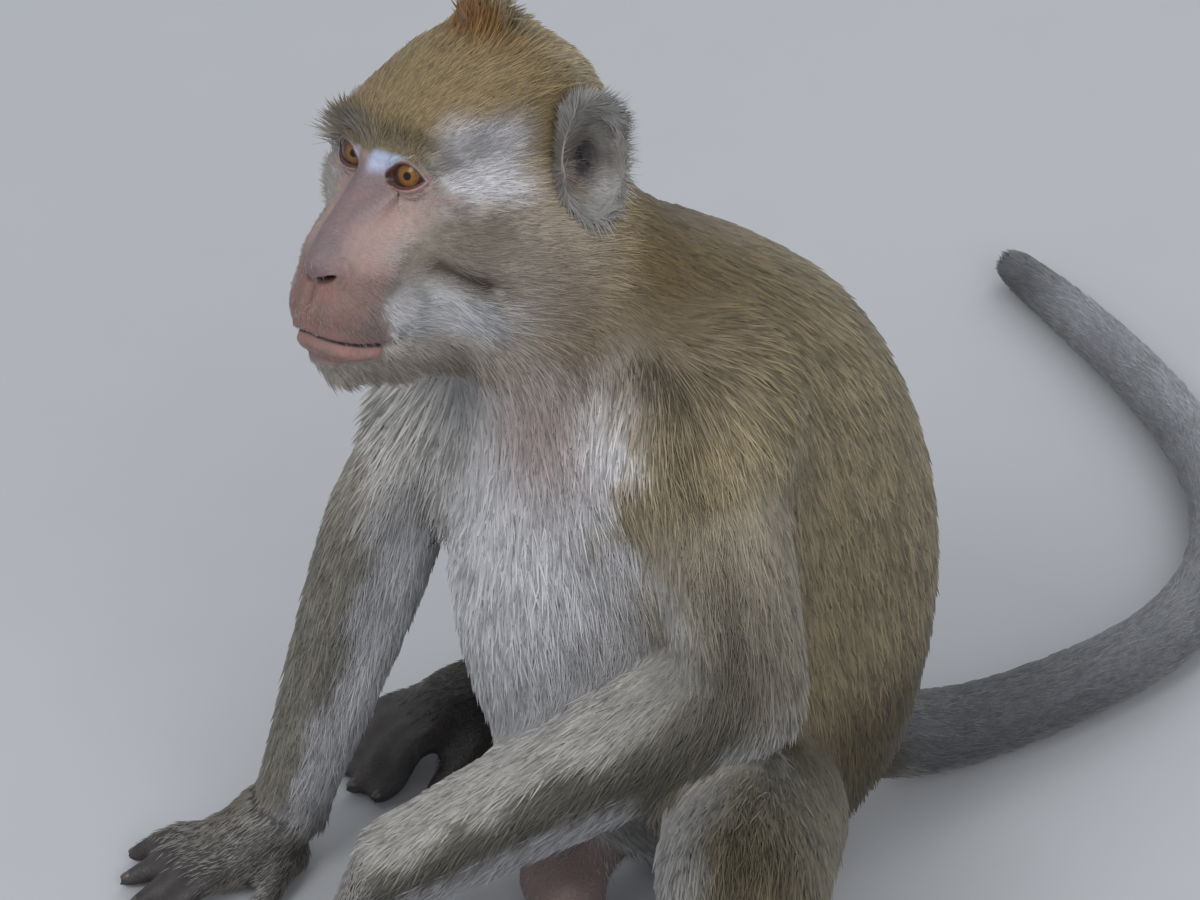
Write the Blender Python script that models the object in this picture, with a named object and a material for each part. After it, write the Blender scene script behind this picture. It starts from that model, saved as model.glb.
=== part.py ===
"""A seated long-tailed macaque at life size: one closed solid for each part of its body.

Lengths are in centimetres until finish() scales each part to metres. +Z is up, the monkey faces -Y, its
left is +X, and the origin is the middle of the seat, on the floor.
"""

import math

import bmesh
import bpy
import numpy as np
from mathutils import Euler, Matrix, Vector

METRES = 0.01
GAP = 0.034
SLIVER = 0.015
FLOOR = 0.0
SHARP = math.radians(55)
SIDES = ("left", "right")

# Trunk: how far back, how high, half the width and half the depth, from the seat to the neck.
TRUNK = (
    ((0.0, -0.5, -0.8), 3.1, 3.3),
    ((0.0, 0.0, 2.0), 4.0, 4.7),
    ((0.0, 0.0, 6.0), 5.8, 7.7),
    ((0.0, -0.9, 11.0), 6.9, 9.4),
    ((0.0, -1.9, 16.0), 6.7, 9.9),
    ((0.0, -3.2, 21.0), 6.8, 8.9),
    ((-0.2, -5.0, 24.8), 6.4, 6.9),
    ((-1.0, -7.0, 28.0), 5.0, 4.8),
    ((-2.1, -9.0, 30.8), 4.5, 4.3),
    ((-3.0, -10.2, 32.6), 3.4, 3.4),
)
SHOULDER_MASS = (3.7, 4.0, 4.3)
HIP_MASS = (2.9, 3.9, 3.2)
LIMB_ROOT = {"arm": 0.2, "leg": 0.22}

# Limb joints, and the half-thickness of the furred limb at each.
SHOULDER = {"left": (4.9, -5.2, 25.4), "right": (-5.5, -5.0, 25.6)}
ELBOW = {"left": (8.6, -5.1, 16.2), "right": (-6.6, -10.6, 17.2)}
WRIST = {"left": (-1.2, -13.9, 5.0), "right": (-8.8, -14.3, 2.9)}
HIP = {"left": (3.5, -1.1, 6.9), "right": (-3.5, -1.1, 6.9)}
KNEE = {"left": (13.2, -8.5, 12.2), "right": (-12.2, -4.6, 15.6)}
ANKLE = {"left": (9.4, -5.6, 3.2), "right": (-11.3, -0.6, 3.2)}
UPPER_ARM_R, ELBOW_R, WRIST_R = 2.8, 2.4, 1.55
FOREARM_R = {"left": 2.75, "right": 2.4}
FURRED_WRIST_R = {"left": 2.0, "right": 1.55}
HIP_R, THIGH_R, KNEE_R = 3.7, 3.6, 3.15
CALF_R, ANKLE_R = 2.7, 1.75

# Hands: heading of the palm, its length and half-width, and for each digit how far it turns from the
# heading, how long it is and where it leaves the palm, from the thumb's side to the little finger's.
PALM_LENGTH, PALM_R, PALM_THICK = 3.0, 1.75, 0.95
FINGER_R, FINGER_TIP_R = 0.55, 0.4
HAND_HEADING = {"left": (0.10, -0.99), "right": (-0.14, -0.99)}
FINGERS = ((12.0, 3.3, 1.15), (3.0, 3.8, 0.4), (-9.0, 3.6, -0.4), (-22.0, 3.0, -1.15))
THUMB = (44.0, 2.6, 0.7)

# Feet: the sole from heel to ball, and the toes the same way as the fingers.
SOLE_LENGTH, FOOT_R, HEEL_R, BALL_HEIGHT = 7.9, 1.7, 1.45, 2.0
FOOT_HEADING = {"left": (0.42, -0.91), "right": (-0.02, -1.0)}
TOES = ((8.0, 3.3, 1.2), (2.0, 3.8, 0.45), (-5.0, 3.7, -0.35), (-12.0, 3.2, -1.1))
BIG_TOE = (16.0, 4.3, 1.3)

# Tail, from the rump along the floor.
TAIL = (
    ((0.0, 4.6, 4.6), 2.2),
    ((0.0, 8.2, 2.5), 2.0),
    ((0.2, 12.5, 1.75), 1.8),
    ((0.1, 17.7, 1.62), 1.68),
    ((-1.0, 22.7, 1.58), 1.64),
    ((-4.5, 27.6, 1.52), 1.58),
    ((-10.9, 31.2, 1.44), 1.5),
    ((-19.1, 32.8, 1.34), 1.4),
    ((-26.6, 33.3, 1.1), 1.16),
)
TAIL_LENGTHS = 4
TAIL_SIDES = 9

# Head: the point midway between the eyes, and how the head is turned, nodded and leant.
EYES_MIDDLE = (-2.5, -13.1, 34.1)
HEAD_TURN, HEAD_NOD, HEAD_LEAN = 9.8, -11.2, -9.9
EYE_R, EYE_SPREAD, EYE_DEPTH = 0.9, 1.55, 0.5
EAR_ROOT = (4.35, 4.2, -0.7)
EAR_HEIGHT, EAR_WIDTH, EAR_THICK, EAR_CUP = 4.2, 2.7, 0.34, 0.7
EAR_SPLAY, EAR_TILT = 74.0, -12.0

# Masses of the head in its own frame, +X left, -Y forward and +Z up from between the eyes. A ball has a
# centre and three half-sizes; a round has rows of point, half-width and half-depth, and what it lies across.
SKULL = ((0, 4.6, 0.6), (3.9, 4.9, 3.9))
CREST = ((0.5, 4.3, 3.9), (1.2, 1.1, 1.1))
FOREHEAD = ((0, 1.6, 1.0), (3.3, 2.2, 1.9))
NAPE = ((0, 6.6, -1.6), (3.5, 3.2, 3.2))
NOSE_TIP = ((0, -2.45, -3.2), (0.65, 0.5, 0.5))
BROW = ((-2.6, 1.5, 1.35), 0.9, 0.8), ((0, 0.7, 1.55), 1.1, 0.85), ((2.6, 1.5, 1.35), 0.9, 0.8)
NOSE = ((0, 1.1, 0.5), 0.75, 0.85), ((0, -0.5, -1.2), 1.0, 0.9), ((0, -2.15, -2.8), 0.9, 0.75)
MUZZLE = ((0, 4.0, -3.4), 3.5, 3.1), ((0, 1.4, -3.3), 2.9, 2.6), ((0, -0.6, -3.7), 2.1, 1.8)
LIPS = ((0, 0.5, -4.0), 2.3, 2.0), ((0, -2.1, -4.75), 1.65, 1.2)
JAW = ((0, 5.0, -5.4), 3.0, 2.2), ((0, 1.2, -6.0), 2.3, 1.65), ((0, -1.75, -6.1), 1.45, 1.25)

# The same for the left half of each pair; the right half is its mirror image.
ORBIT = ((1.6, 1.35, 0.0), (1.5, 1.4, 1.25))
CHEEKBONE = ((2.9, 2.1, -1.5), (1.45, 2.1, 1.9))
UNDER_EYE = ((2.1, 1.0, -1.9), (1.6, 1.3, 1.2))
CHEEK = ((2.7, 3.3, -3.6), (1.75, 2.8, 2.4))
MUZZLE_SIDE = ((1.1, -0.6, -4.5), (1.3, 2.15, 1.25))
NOSE_WING = ((0.6, -2.15, -3.4), (0.45, 0.55, 0.42))
MUZZLE_RIDGE = ((1.6, 0.9, -1.6), 0.95, 0.9), ((1.25, -1.1, -3.3), 1.1, 1.0)

# Scrotum: one ball for each half, and one where they hang from the groin.
SCROTUM_HALF = ((0.75, -7.6, 1.7), (1.25, 1.5, 1.75), (18, 0, 0))
SCROTUM_ROOT = ((0, -6.2, 3.0), (1.1, 1.6, 1.2))

# Where the trunk is parted: a point on the plane, and the way up across it.
HEAD_CUT = ((-1.7, -7.8, 30.0), (-0.1, -0.60, 0.79))
NECK_CUT = ((-0.6, -5.8, 28.0), (-0.1, -0.38, 0.92))
CHEST_CUT = ((0, -2.5, 18.5), (0, -0.12, 0.99))
BELLY_CUT = ((0, -0.6, 8.6), (0, 0.05, 1))

# How each mass is blended: voxel size, rounds of smoothing and the triangles it is thinned to.
BLENDS = {
    "body": (0.3, 8, 1600),
    "arm": (0.45, 6, 300),
    "leg": (0.5, 6, 340),
    "hand": (0.17, 4, 430),
    "foot": (0.2, 4, 410),
    "scrotum": (0.25, 4, 120),
}

# Colour and roughness of each surface.
COATS = {
    "olive": ((0.17, 0.14, 0.085), 0.85),
    "golden": ((0.25, 0.17, 0.07), 0.85),
    "grey": ((0.30, 0.28, 0.25), 0.85),
    "tail": ((0.17, 0.16, 0.15), 0.85),
    "face": ((0.55, 0.33, 0.27), 0.6),
    "ear": ((0.42, 0.26, 0.22), 0.65),
    "hand": ((0.075, 0.06, 0.055), 0.6),
    "pink": ((0.52, 0.27, 0.21), 0.55),
    "eye": ((0.33, 0.14, 0.03), 0.08),
}


def clear_scene():
    for thing in list(bpy.data.objects):
        bpy.data.objects.remove(thing)


def smooth_path(points, steps):
    """Points and radii on a Catmull-Rom curve through the given rows, steps to a span."""
    rows = np.asarray(points, float)
    ends = np.vstack([2 * rows[0] - rows[1], rows, 2 * rows[-1] - rows[-2]])
    t = np.arange(steps)[:, None] / steps
    spans = []
    for a, b, c, d in zip(ends[:-3], ends[1:-2], ends[2:-1], ends[3:]):
        bend = 2 * a - 5 * b + 4 * c - d
        twist = 3 * b - a - 3 * c + d
        spans.append(b + 0.5 * ((c - a) * t + bend * t**2 + twist * t**3))
    return np.vstack([*spans, rows[-1:]])


def add_tube(bm, stations, across=(1, 0, 0), steps=4, sides=18):
    """A round-ended tube through stations of (point, half-width, half-depth); the width lies along across."""
    rows = [(*point, wide, deep) for point, wide, deep in stations]
    path = smooth_path(rows, steps)
    tangents = np.gradient(path[:, :3], axis=0)
    tangents /= np.linalg.norm(tangents, axis=1)[:, None]
    dome = [(math.sin(a), math.cos(a)) for a in np.radians((25, 50, 75))]
    rings = [(0, -beyond, shrink) for beyond, shrink in reversed(dome)]
    rings += [(i, 0.0, 1.0) for i in range(len(path))]
    rings += [(len(path) - 1, beyond, shrink) for beyond, shrink in dome]
    turns = np.arange(sides) * 2 * math.pi / sides
    loops = []
    for i, beyond, shrink in rings:
        along = tangents[i]
        wide = np.asarray(across, float)
        wide = wide - along * (wide @ along)
        wide /= np.linalg.norm(wide)
        deep = np.cross(along, wide)
        centre = path[i, :3] + along * beyond * min(path[i, 3], path[i, 4])
        ring = np.cos(turns)[:, None] * wide * path[i, 3] + np.sin(turns)[:, None] * deep * path[i, 4]
        loops.append([bm.verts.new(point) for point in centre + shrink * ring])
    for low, high in zip(loops[:-1], loops[1:]):
        for j in range(sides):
            k = (j + 1) % sides
            bm.faces.new((low[j], low[k], high[k], high[j]))
    bm.faces.new(loops[0][::-1])
    bm.faces.new(loops[-1])


def add_limb(bm, stations, steps=4, sides=16):
    """A round tube through stations of (point, radius)."""
    first, last = (np.asarray(stations[i][0], float) for i in (0, -1))
    run = last - first
    across = np.cross(run, (0.3, 0.2, 0.93))
    add_tube(bm, [(point, r, r) for point, r in stations], across, steps, sides)


def add_ball(bm, centre, radii, turn=(0, 0, 0)):
    """An ellipsoid of the given half-sizes, turned by degrees about X, Y and Z."""
    angles = Euler([math.radians(a) for a in turn]).to_matrix().to_4x4()
    matrix = Matrix.Translation(centre) @ angles @ Matrix.Diagonal((*radii, 1.0))
    bmesh.ops.create_icosphere(bm, subdivisions=3, radius=1.0, matrix=matrix)


def mix(a, b, share):
    """The point that far from a towards b."""
    return tuple(Vector(a).lerp(Vector(b), share))


def object_of(name, bm):
    mesh = bpy.data.meshes.new(name)
    bm.to_mesh(mesh)
    bm.free()
    thing = bpy.data.objects.new(name, mesh)
    bpy.context.scene.collection.objects.link(thing)
    return thing


def evaluated(thing):
    """The object's mesh with its modifiers applied, as a bmesh; the object is removed."""
    graph = bpy.context.evaluated_depsgraph_get()
    bm = bmesh.new()
    bm.from_object(thing, graph)
    bpy.data.objects.remove(thing)
    return bm


def blended(bm, mass):
    """The overlapping shapes in bm made one closed skin, smoothed where they meet and thinned."""
    voxel, rounds, triangles = BLENDS[mass]
    thing = object_of("blend", bm)
    remesh = thing.modifiers.new("One skin", "REMESH")
    remesh.mode = "VOXEL"
    remesh.voxel_size = voxel
    smooth = thing.modifiers.new("Soft joins", "SMOOTH")
    smooth.factor = 0.5
    smooth.iterations = rounds
    skin = evaluated(thing)
    bmesh.ops.triangulate(skin, faces=skin.faces[:])
    thing = object_of("blend", skin)
    thin = thing.modifiers.new("Fewer faces", "DECIMATE")
    thin.ratio = min(1.0, triangles / len(thing.data.polygons))
    return evaluated(thing)


def largest_piece(bm):
    """Deletes every loose shell of bm but the one with most vertices."""
    left = set(bm.verts)
    shells = []
    while left:
        shell = {left.pop()}
        edge = set(shell)
        while edge:
            edge = {e.other_vert(v) for v in edge for e in v.link_edges} - shell
            shell |= edge
        left -= shell
        shells.append(shell)
    keep = max(shells, key=len)
    for shell in shells:
        if shell is not keep:
            bmesh.ops.delete(bm, geom=list(shell), context="VERTS")
    return bm


def cut(bm, point, normal):
    """Removes what lies on the normal's side of a plane and closes the cut."""
    whole = bm.verts[:] + bm.edges[:] + bm.faces[:]
    bmesh.ops.bisect_plane(bm, geom=whole, dist=1e-5, plane_co=point, plane_no=normal, clear_outer=True)
    rim = [edge for edge in bm.edges if edge.is_boundary]
    bmesh.ops.holes_fill(bm, edges=rim, sides=0)
    bmesh.ops.triangulate(bm, faces=[face for face in bm.faces if len(face.verts) > 3])
    return largest_piece(bm)


def parted(bm, point, normal):
    """The two sides of a cut a gap wide: first what lies behind the plane, then what lies ahead of it."""
    middle, way = Vector(point), Vector(normal).normalized()
    ahead = cut(bm.copy(), middle + way * GAP / 2, -way)
    return cut(bm, middle - way * GAP / 2, way), ahead


def bend_plane(before, joint, after):
    """The normal of the plane that halves the bend at a joint, pointing along the limb."""
    first = (Vector(joint) - Vector(before)).normalized()
    second = (Vector(after) - Vector(joint)).normalized()
    return first + second


def swollen(bm, by=GAP):
    """A copy of bm, every vertex moved out along its normal."""
    copy = bm.copy()
    bmesh.ops.recalc_face_normals(copy, faces=copy.faces[:])
    copy.normal_update()
    for vert, normal in [(v, v.normal.copy()) for v in copy.verts]:
        vert.co += normal * by * vert.calc_shell_factor()
    return copy


def carved(bm, cutters):
    """Bm less each of the cutters, which are swollen by the gap first."""
    thing = object_of("carved", bm)
    helpers = []
    for number, cutter in enumerate(cutters):
        helper = object_of(f"cutter {number}", swollen(cutter))
        helper.hide_render = True
        helper.display_type = "WIRE"
        boolean = thing.modifiers.new(f"Less {number}", "BOOLEAN")
        boolean.operation = "DIFFERENCE"
        boolean.object = helper
        helpers.append(helper)
    result = evaluated(thing)
    for helper in helpers:
        bpy.data.objects.remove(helper)
    bmesh.ops.triangulate(result, faces=result.faces[:])
    bmesh.ops.dissolve_degenerate(result, dist=SLIVER, edges=result.edges[:])
    bmesh.ops.triangulate(result, faces=result.faces[:])
    return largest_piece(result)


def on_floor(bm):
    """Cuts off what lies below the floor, which leaves the flat that the part rests on."""
    return cut(bm, (0, 0, FLOOR), (0, 0, -1))


def finish(name, bm, coat):
    """Makes the named part, in metres, with its own material."""
    bmesh.ops.recalc_face_normals(bm, faces=bm.faces[:])
    bmesh.ops.scale(bm, vec=(METRES, METRES, METRES), verts=bm.verts[:])
    part = object_of(name, bm)
    part.data.shade_smooth()
    part.data.set_sharp_from_angle(angle=SHARP)
    colour, roughness = COATS[coat]
    material = bpy.data.materials.new(name)
    material.use_nodes = True
    shader = material.node_tree.nodes["Principled BSDF"]
    shader.inputs["Base Color"].default_value = (*colour, 1.0)
    shader.inputs["Roughness"].default_value = roughness
    shader.inputs["Metallic"].default_value = 0.0
    part.data.materials.append(material)


def arm_parts(side):
    """Upper arm and forearm, bare of the hand."""
    shoulder, elbow, wrist = SHOULDER[side], ELBOW[side], WRIST[side]
    thick, thin = FOREARM_R[side], FURRED_WRIST_R[side]
    bm = bmesh.new()
    add_limb(bm, [
        (mix(shoulder, elbow, LIMB_ROOT["arm"]), UPPER_ARM_R),
        (mix(shoulder, elbow, 0.5), UPPER_ARM_R),
        (mix(shoulder, elbow, 0.97), ELBOW_R),
    ])
    add_limb(bm, [
        (mix(elbow, wrist, 0.0), ELBOW_R),
        (mix(elbow, wrist, 0.25), thick),
        (mix(elbow, wrist, 0.65), (thick + thin) / 2),
        (mix(elbow, wrist, 1.0), thin),
        (mix(elbow, wrist, 1.08), thin),
    ])
    whole = blended(bm, "arm")
    upper, fore = parted(whole, elbow, bend_plane(shoulder, elbow, wrist))
    return upper, cut(fore, wrist, Vector(wrist) - Vector(elbow))


def leg_parts(side):
    """Thigh and lower leg, bare of the foot."""
    hip, knee, ankle = HIP[side], KNEE[side], ANKLE[side]
    bm = bmesh.new()
    add_limb(bm, [
        (mix(hip, knee, LIMB_ROOT["leg"]), HIP_R),
        (mix(hip, knee, 0.5), THIGH_R),
        (mix(hip, knee, 0.8), (THIGH_R + KNEE_R) / 2),
        (knee, KNEE_R),
    ])
    add_limb(bm, [
        (knee, KNEE_R * 0.95),
        (mix(knee, ankle, 0.35), CALF_R),
        (mix(knee, ankle, 0.75), (CALF_R + ANKLE_R) / 2),
        (ankle, ANKLE_R),
        (mix(knee, ankle, 1.1), ANKLE_R),
    ])
    whole = blended(bm, "leg")
    thigh, shin = parted(whole, knee, bend_plane(hip, knee, ankle))
    return thigh, cut(shin, ankle, (0, 0, -1))


def turned(heading, degrees):
    """A unit heading on the floor, turned anticlockwise as seen from above."""
    a = math.atan2(heading[1], heading[0]) + math.radians(degrees)
    return np.array((math.cos(a), math.sin(a), 0.0))


def add_digit(bm, root, way, length, thick, tip):
    """A finger or toe that rises a little from its root, bends and ends flat on the floor."""
    lift = np.array((0, 0, 1.0))
    root = np.asarray(root, float)
    flat = root - lift * root[2]
    add_limb(bm, [
        (root, thick * 1.1),
        (flat + way * length * 0.42 + lift * max(root[2], thick * 1.9), thick),
        (flat + way * length * 0.76 + lift * thick * 1.15, thick * 0.95),
        (flat + way * length + lift * tip * 0.9, tip),
    ], steps=3, sides=10)


def hand_part(side):
    """The hand from the wrist down: palm, four fingers and thumb."""
    wrist = np.asarray(WRIST[side], float)
    heading = HAND_HEADING[side]
    ahead = turned(heading, 0)
    thumb_side = turned(heading, 90 if side == "right" else -90)
    turn = 1 if side == "right" else -1
    knuckles = np.array((*wrist[:2], 0)) + ahead * PALM_LENGTH + np.array((0, 0, 1.25))
    bm = bmesh.new()
    add_tube(bm, [
        (wrist + (wrist - np.asarray(ELBOW[side])) * -0.12, WRIST_R, WRIST_R),
        (wrist, WRIST_R, WRIST_R),
        ((wrist * 0.5 + knuckles * 0.5) - (0, 0, 0.25), PALM_R * 0.95, PALM_THICK * 1.25),
        (knuckles, PALM_R, PALM_THICK),
    ], thumb_side)
    heel = np.array((*wrist[:2], 0.75)) + ahead * 0.3
    add_tube(bm, [(heel, 1.2, 0.85), (knuckles - (0, 0, 0.5), PALM_R * 0.9, 0.8)], thumb_side)
    for angle, length, place in FINGERS:
        root = knuckles + thumb_side * place
        add_digit(bm, root, turned(heading, turn * angle), length, FINGER_R, FINGER_TIP_R)
    angle, length, place = THUMB
    root = heel + thumb_side * place
    add_digit(bm, root, turned(heading, turn * angle), length, FINGER_R * 1.05, FINGER_TIP_R * 1.1)
    back = (Vector(ELBOW[side]) - Vector(wrist)).normalized()
    return cut(on_floor(blended(bm, "hand")), Vector(wrist) - back * GAP, back)


def foot_part(side):
    """The foot from the ankle down: heel, sole, four toes and the big toe."""
    ankle = np.asarray(ANKLE[side], float)
    heading = FOOT_HEADING[side]
    ahead = turned(heading, 0)
    inner = turned(heading, 90 if side == "right" else -90)
    turn = 1 if side == "right" else -1
    ground = np.array((*ankle[:2], 0.0))
    heel = ground - ahead * 1.7 + np.array((0, 0, HEEL_R * 0.9))
    ball = ground + ahead * (SOLE_LENGTH - 1.7) + np.array((0, 0, BALL_HEIGHT))
    bm = bmesh.new()
    shin_top = ankle + (np.asarray(KNEE[side]) - ankle) * 0.14
    add_limb(bm, [(shin_top, ANKLE_R), (ankle, ANKLE_R), (mix(ankle, heel, 0.6), HEEL_R * 1.1)])
    add_tube(bm, [
        (heel, HEEL_R, HEEL_R),
        (mix(heel, ball, 0.45), FOOT_R * 0.85, 1.25),
        (ball, FOOT_R, 1.0),
    ], inner)
    add_tube(bm, [
        (ankle - (0, 0, 0.4), ANKLE_R, ANKLE_R),
        (mix(ankle, ball, 0.5) + np.array((0, 0, 0.25)), 1.45, 1.3),
        (ball, FOOT_R * 0.9, 0.95),
    ], inner)
    for angle, length, place in TOES:
        root = ball + inner * place
        add_digit(bm, root, turned(heading, turn * angle), length, FINGER_R * 1.05, FINGER_TIP_R)
    angle, length, place = BIG_TOE
    root = mix(heel, ball, 0.62) + inner * place
    add_digit(bm, root, turned(heading, turn * angle), length, FINGER_R * 1.25, FINGER_TIP_R * 1.2)
    return cut(on_floor(blended(bm, "foot")), ankle - (0, 0, GAP), (0, 0, 1))


def head_matrix():
    angles = [math.radians(a) for a in (HEAD_TURN, HEAD_NOD, HEAD_LEAN)]
    turn, nod, lean = (Matrix.Rotation(a, 4, axis) for a, axis in zip(angles, "ZXY"))
    return Matrix.Translation(EYES_MIDDLE) @ turn @ nod @ lean


def mirrored(row, sign):
    """A ball's or a round's row with its centre on the left for 1 and on the right for -1."""
    (x, y, z), *sizes = row
    return ((sign * x, y, z), *sizes)


def add_head(bm):
    """Skull, brow, cheeks, muzzle, nose and jaw, turned as the head is held."""
    for ball in (SKULL, CREST, FOREHEAD, NAPE, NOSE_TIP):
        add_ball(bm, *ball)
    add_tube(bm, BROW, (0, 1, 0))
    for rows in (NOSE, MUZZLE, LIPS, JAW):
        add_tube(bm, rows)
    for sign in (1, -1):
        for ball in (ORBIT, CHEEKBONE, UNDER_EYE, CHEEK, MUZZLE_SIDE, NOSE_WING):
            add_ball(bm, *mirrored(ball, sign))
        add_tube(bm, [mirrored(row, sign) for row in MUZZLE_RIDGE])
    bm.transform(head_matrix())


def eye_ball(sign):
    bm = bmesh.new()
    bmesh.ops.create_uvsphere(bm, u_segments=16, v_segments=9, radius=EYE_R)
    bmesh.ops.rotate(bm, matrix=Matrix.Rotation(math.pi / 2, 3, "X"), verts=bm.verts[:])
    bmesh.ops.translate(bm, vec=(sign * EYE_SPREAD, EYE_DEPTH, 0), verts=bm.verts[:])
    bm.transform(head_matrix())
    return bm


def ear_shell(sign):
    """A leaf that stands out from the side of the head, its rim curled forward round a hollow middle."""
    bm = bmesh.new()
    rings, spokes = 4, 14
    sheets = []
    for back in (0, 1):
        rows = [[bm.verts.new((0, back * EAR_THICK, 0))] * spokes]
        for share in np.arange(1, rings + 1) / rings:
            turns = np.arange(spokes) * 2 * math.pi / spokes
            across = share * np.cos(turns) * EAR_WIDTH / 2
            high = share * np.sin(turns) * EAR_HEIGHT / 2 + 0.18 * across * share
            deep = back * EAR_THICK * (1 - 0.55 * share**6) - EAR_CUP * share**2
            rows.append([bm.verts.new((x, deep, z)) for x, z in zip(across, high)])
        sheets.append(rows)
    for rows in sheets:
        for low, high in zip(rows[:-1], rows[1:]):
            for j in range(spokes):
                corners = (low[j - 1], low[j], high[j], high[j - 1])
                bm.faces.new(dict.fromkeys(corners))
    front, rear = (rows[-1] for rows in sheets)
    for j in range(spokes):
        bm.faces.new((front[j - 1], front[j], rear[j], rear[j - 1]))
    splay = Matrix.Rotation(math.radians(sign * EAR_SPLAY), 4, "Z")
    tilt = Matrix.Rotation(math.radians(EAR_TILT), 4, "X")
    flip = Matrix.Diagonal((sign, 1, 1, 1))
    root, _ = mirrored((EAR_ROOT, None), sign)
    leaf = flip @ Matrix.Translation((EAR_WIDTH * 0.36, EAR_CUP * 0.6, 0.8))
    bm.transform(head_matrix() @ Matrix.Translation(root) @ splay @ tilt @ leaf)
    bmesh.ops.recalc_face_normals(bm, faces=bm.faces[:])
    return bm


def tail_parts():
    """The tail as one tapered round, cut across its run into equal lengths."""
    bm = bmesh.new()
    add_tube(bm, [(point, r, r) for point, r in TAIL], (0.4, 0.2, 1), steps=2, sides=TAIL_SIDES)
    bmesh.ops.triangulate(bm, faces=bm.faces[:])
    rest = on_floor(bm)
    route = smooth_path([(*point, r) for point, r in TAIL], 12)[:, :3]
    run = np.concatenate([[0], np.cumsum(np.linalg.norm(np.diff(route, axis=0), axis=1))])
    parts = []
    for number in range(1, TAIL_LENGTHS):
        i = int(np.searchsorted(run, run[-1] * number / TAIL_LENGTHS))
        part, rest = parted(rest, route[i], route[i + 1] - route[i - 1])
        parts.append(part)
    return [*parts, rest]


def body_mass():
    """Head, neck and trunk as overlapping shapes, without limbs or tail."""
    bm = bmesh.new()
    add_head(bm)
    add_tube(bm, TRUNK, steps=4, sides=28)
    for side in SIDES:
        add_ball(bm, SHOULDER[side], SHOULDER_MASS)
        add_ball(bm, HIP[side], HIP_MASS)
    return bm


def scrotum_mass():
    bm = bmesh.new()
    for sign in (1, -1):
        add_ball(bm, *mirrored(SCROTUM_HALF, sign))
    add_ball(bm, *SCROTUM_ROOT)
    return bm


def main():
    clear_scene()
    arms = {side: arm_parts(side) for side in SIDES}
    legs = {side: leg_parts(side) for side in SIDES}
    tail = tail_parts()
    scrotum = on_floor(blended(scrotum_mass(), "scrotum"))
    body = on_floor(blended(body_mass(), "body"))

    for side in SIDES:
        upper, fore = arms[side]
        thigh, shin = legs[side]
        if side == "left":
            thigh = carved(thigh, [upper, fore])
            shin = carved(shin, [fore])
            body = carved(body, [fore])
        body = carved(body, [upper, thigh])
        finish(f"upper_arm_{side}", upper, "olive")
        finish(f"forearm_{side}", fore, "grey")
        finish(f"hand_{side}", hand_part(side), "hand")
        finish(f"thigh_{side}", thigh, "grey")
        finish(f"shin_{side}", shin, "grey")
        finish(f"foot_{side}", foot_part(side), "hand")

    body = carved(body, [tail[0], scrotum])
    finish("scrotum", scrotum, "pink")
    for number, part in enumerate(tail, 1):
        finish(f"tail_{number}", part, "tail")

    body, head = parted(body, *HEAD_CUT)
    body, neck = parted(body, *NECK_CUT)
    body, chest = parted(body, *CHEST_CUT)
    pelvis, belly = parted(body, *BELLY_CUT)
    finish("neck", neck, "grey")
    finish("chest", chest, "olive")
    finish("belly", belly, "olive")
    finish("pelvis", pelvis, "golden")

    for side, sign in zip(SIDES, (1, -1)):
        ball = eye_ball(sign)
        head = carved(head, [ball])
        finish(f"eye_{side}", ball, "eye")
    for side, sign in zip(SIDES, (1, -1)):
        ear = carved(ear_shell(sign), [head])
        finish(f"ear_{side}", ear, "ear")
    finish("head", head, "face")


main()
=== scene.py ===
"""A seated long-tailed macaque, dressed for display: one skin, lids, eyes, ears, nails and a coat of tufts.

Lengths are in centimetres until a mesh is made, which scales them to metres. +Z is up, the monkey faces -Y
and its left is +X. The head has its own frame, whose origin lies midway between the eyes, and q stands for
rows of points in it.
"""

import logging
import math
from collections.abc import Callable, Iterator
from contextlib import contextmanager
from dataclasses import dataclass, fields
from enum import Enum

import bmesh
import bpy
import numpy as np
from bpy.types import Material, Mesh, Object
from mathutils import Matrix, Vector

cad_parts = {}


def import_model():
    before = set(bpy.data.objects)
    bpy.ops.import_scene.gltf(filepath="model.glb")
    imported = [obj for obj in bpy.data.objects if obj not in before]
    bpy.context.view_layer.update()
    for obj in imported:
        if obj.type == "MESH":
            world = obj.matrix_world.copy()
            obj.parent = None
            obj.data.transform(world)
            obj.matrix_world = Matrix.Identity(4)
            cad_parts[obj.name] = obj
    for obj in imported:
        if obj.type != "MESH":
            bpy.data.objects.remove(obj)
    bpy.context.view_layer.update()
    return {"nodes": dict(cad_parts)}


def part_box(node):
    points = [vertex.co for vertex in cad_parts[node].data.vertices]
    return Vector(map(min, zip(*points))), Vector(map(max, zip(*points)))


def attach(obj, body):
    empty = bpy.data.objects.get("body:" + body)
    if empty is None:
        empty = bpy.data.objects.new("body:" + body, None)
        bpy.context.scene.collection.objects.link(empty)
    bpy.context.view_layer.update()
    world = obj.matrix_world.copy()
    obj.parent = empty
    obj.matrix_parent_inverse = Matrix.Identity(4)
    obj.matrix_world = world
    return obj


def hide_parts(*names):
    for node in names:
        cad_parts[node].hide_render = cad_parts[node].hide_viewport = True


LOG = logging.getLogger("macaque")
METRES = 0.01
BODY = "root"
TINT = "Tint"
BAKE_MAP = "OFBake"
UPRIGHT = (0.0, 0.0, 1.0)

Array = np.ndarray
Place = tuple[float, float, float]


class Side(Enum):
    """The two sides of the animal, by the sign of X."""

    LEFT = 1
    RIGHT = -1


# ---- small mathematics


def unit(vectors: Array) -> Array:
    """Each row divided by its length."""
    length = np.linalg.norm(vectors, axis=-1, keepdims=True)
    return vectors / np.maximum(length, 1e-9)


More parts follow.
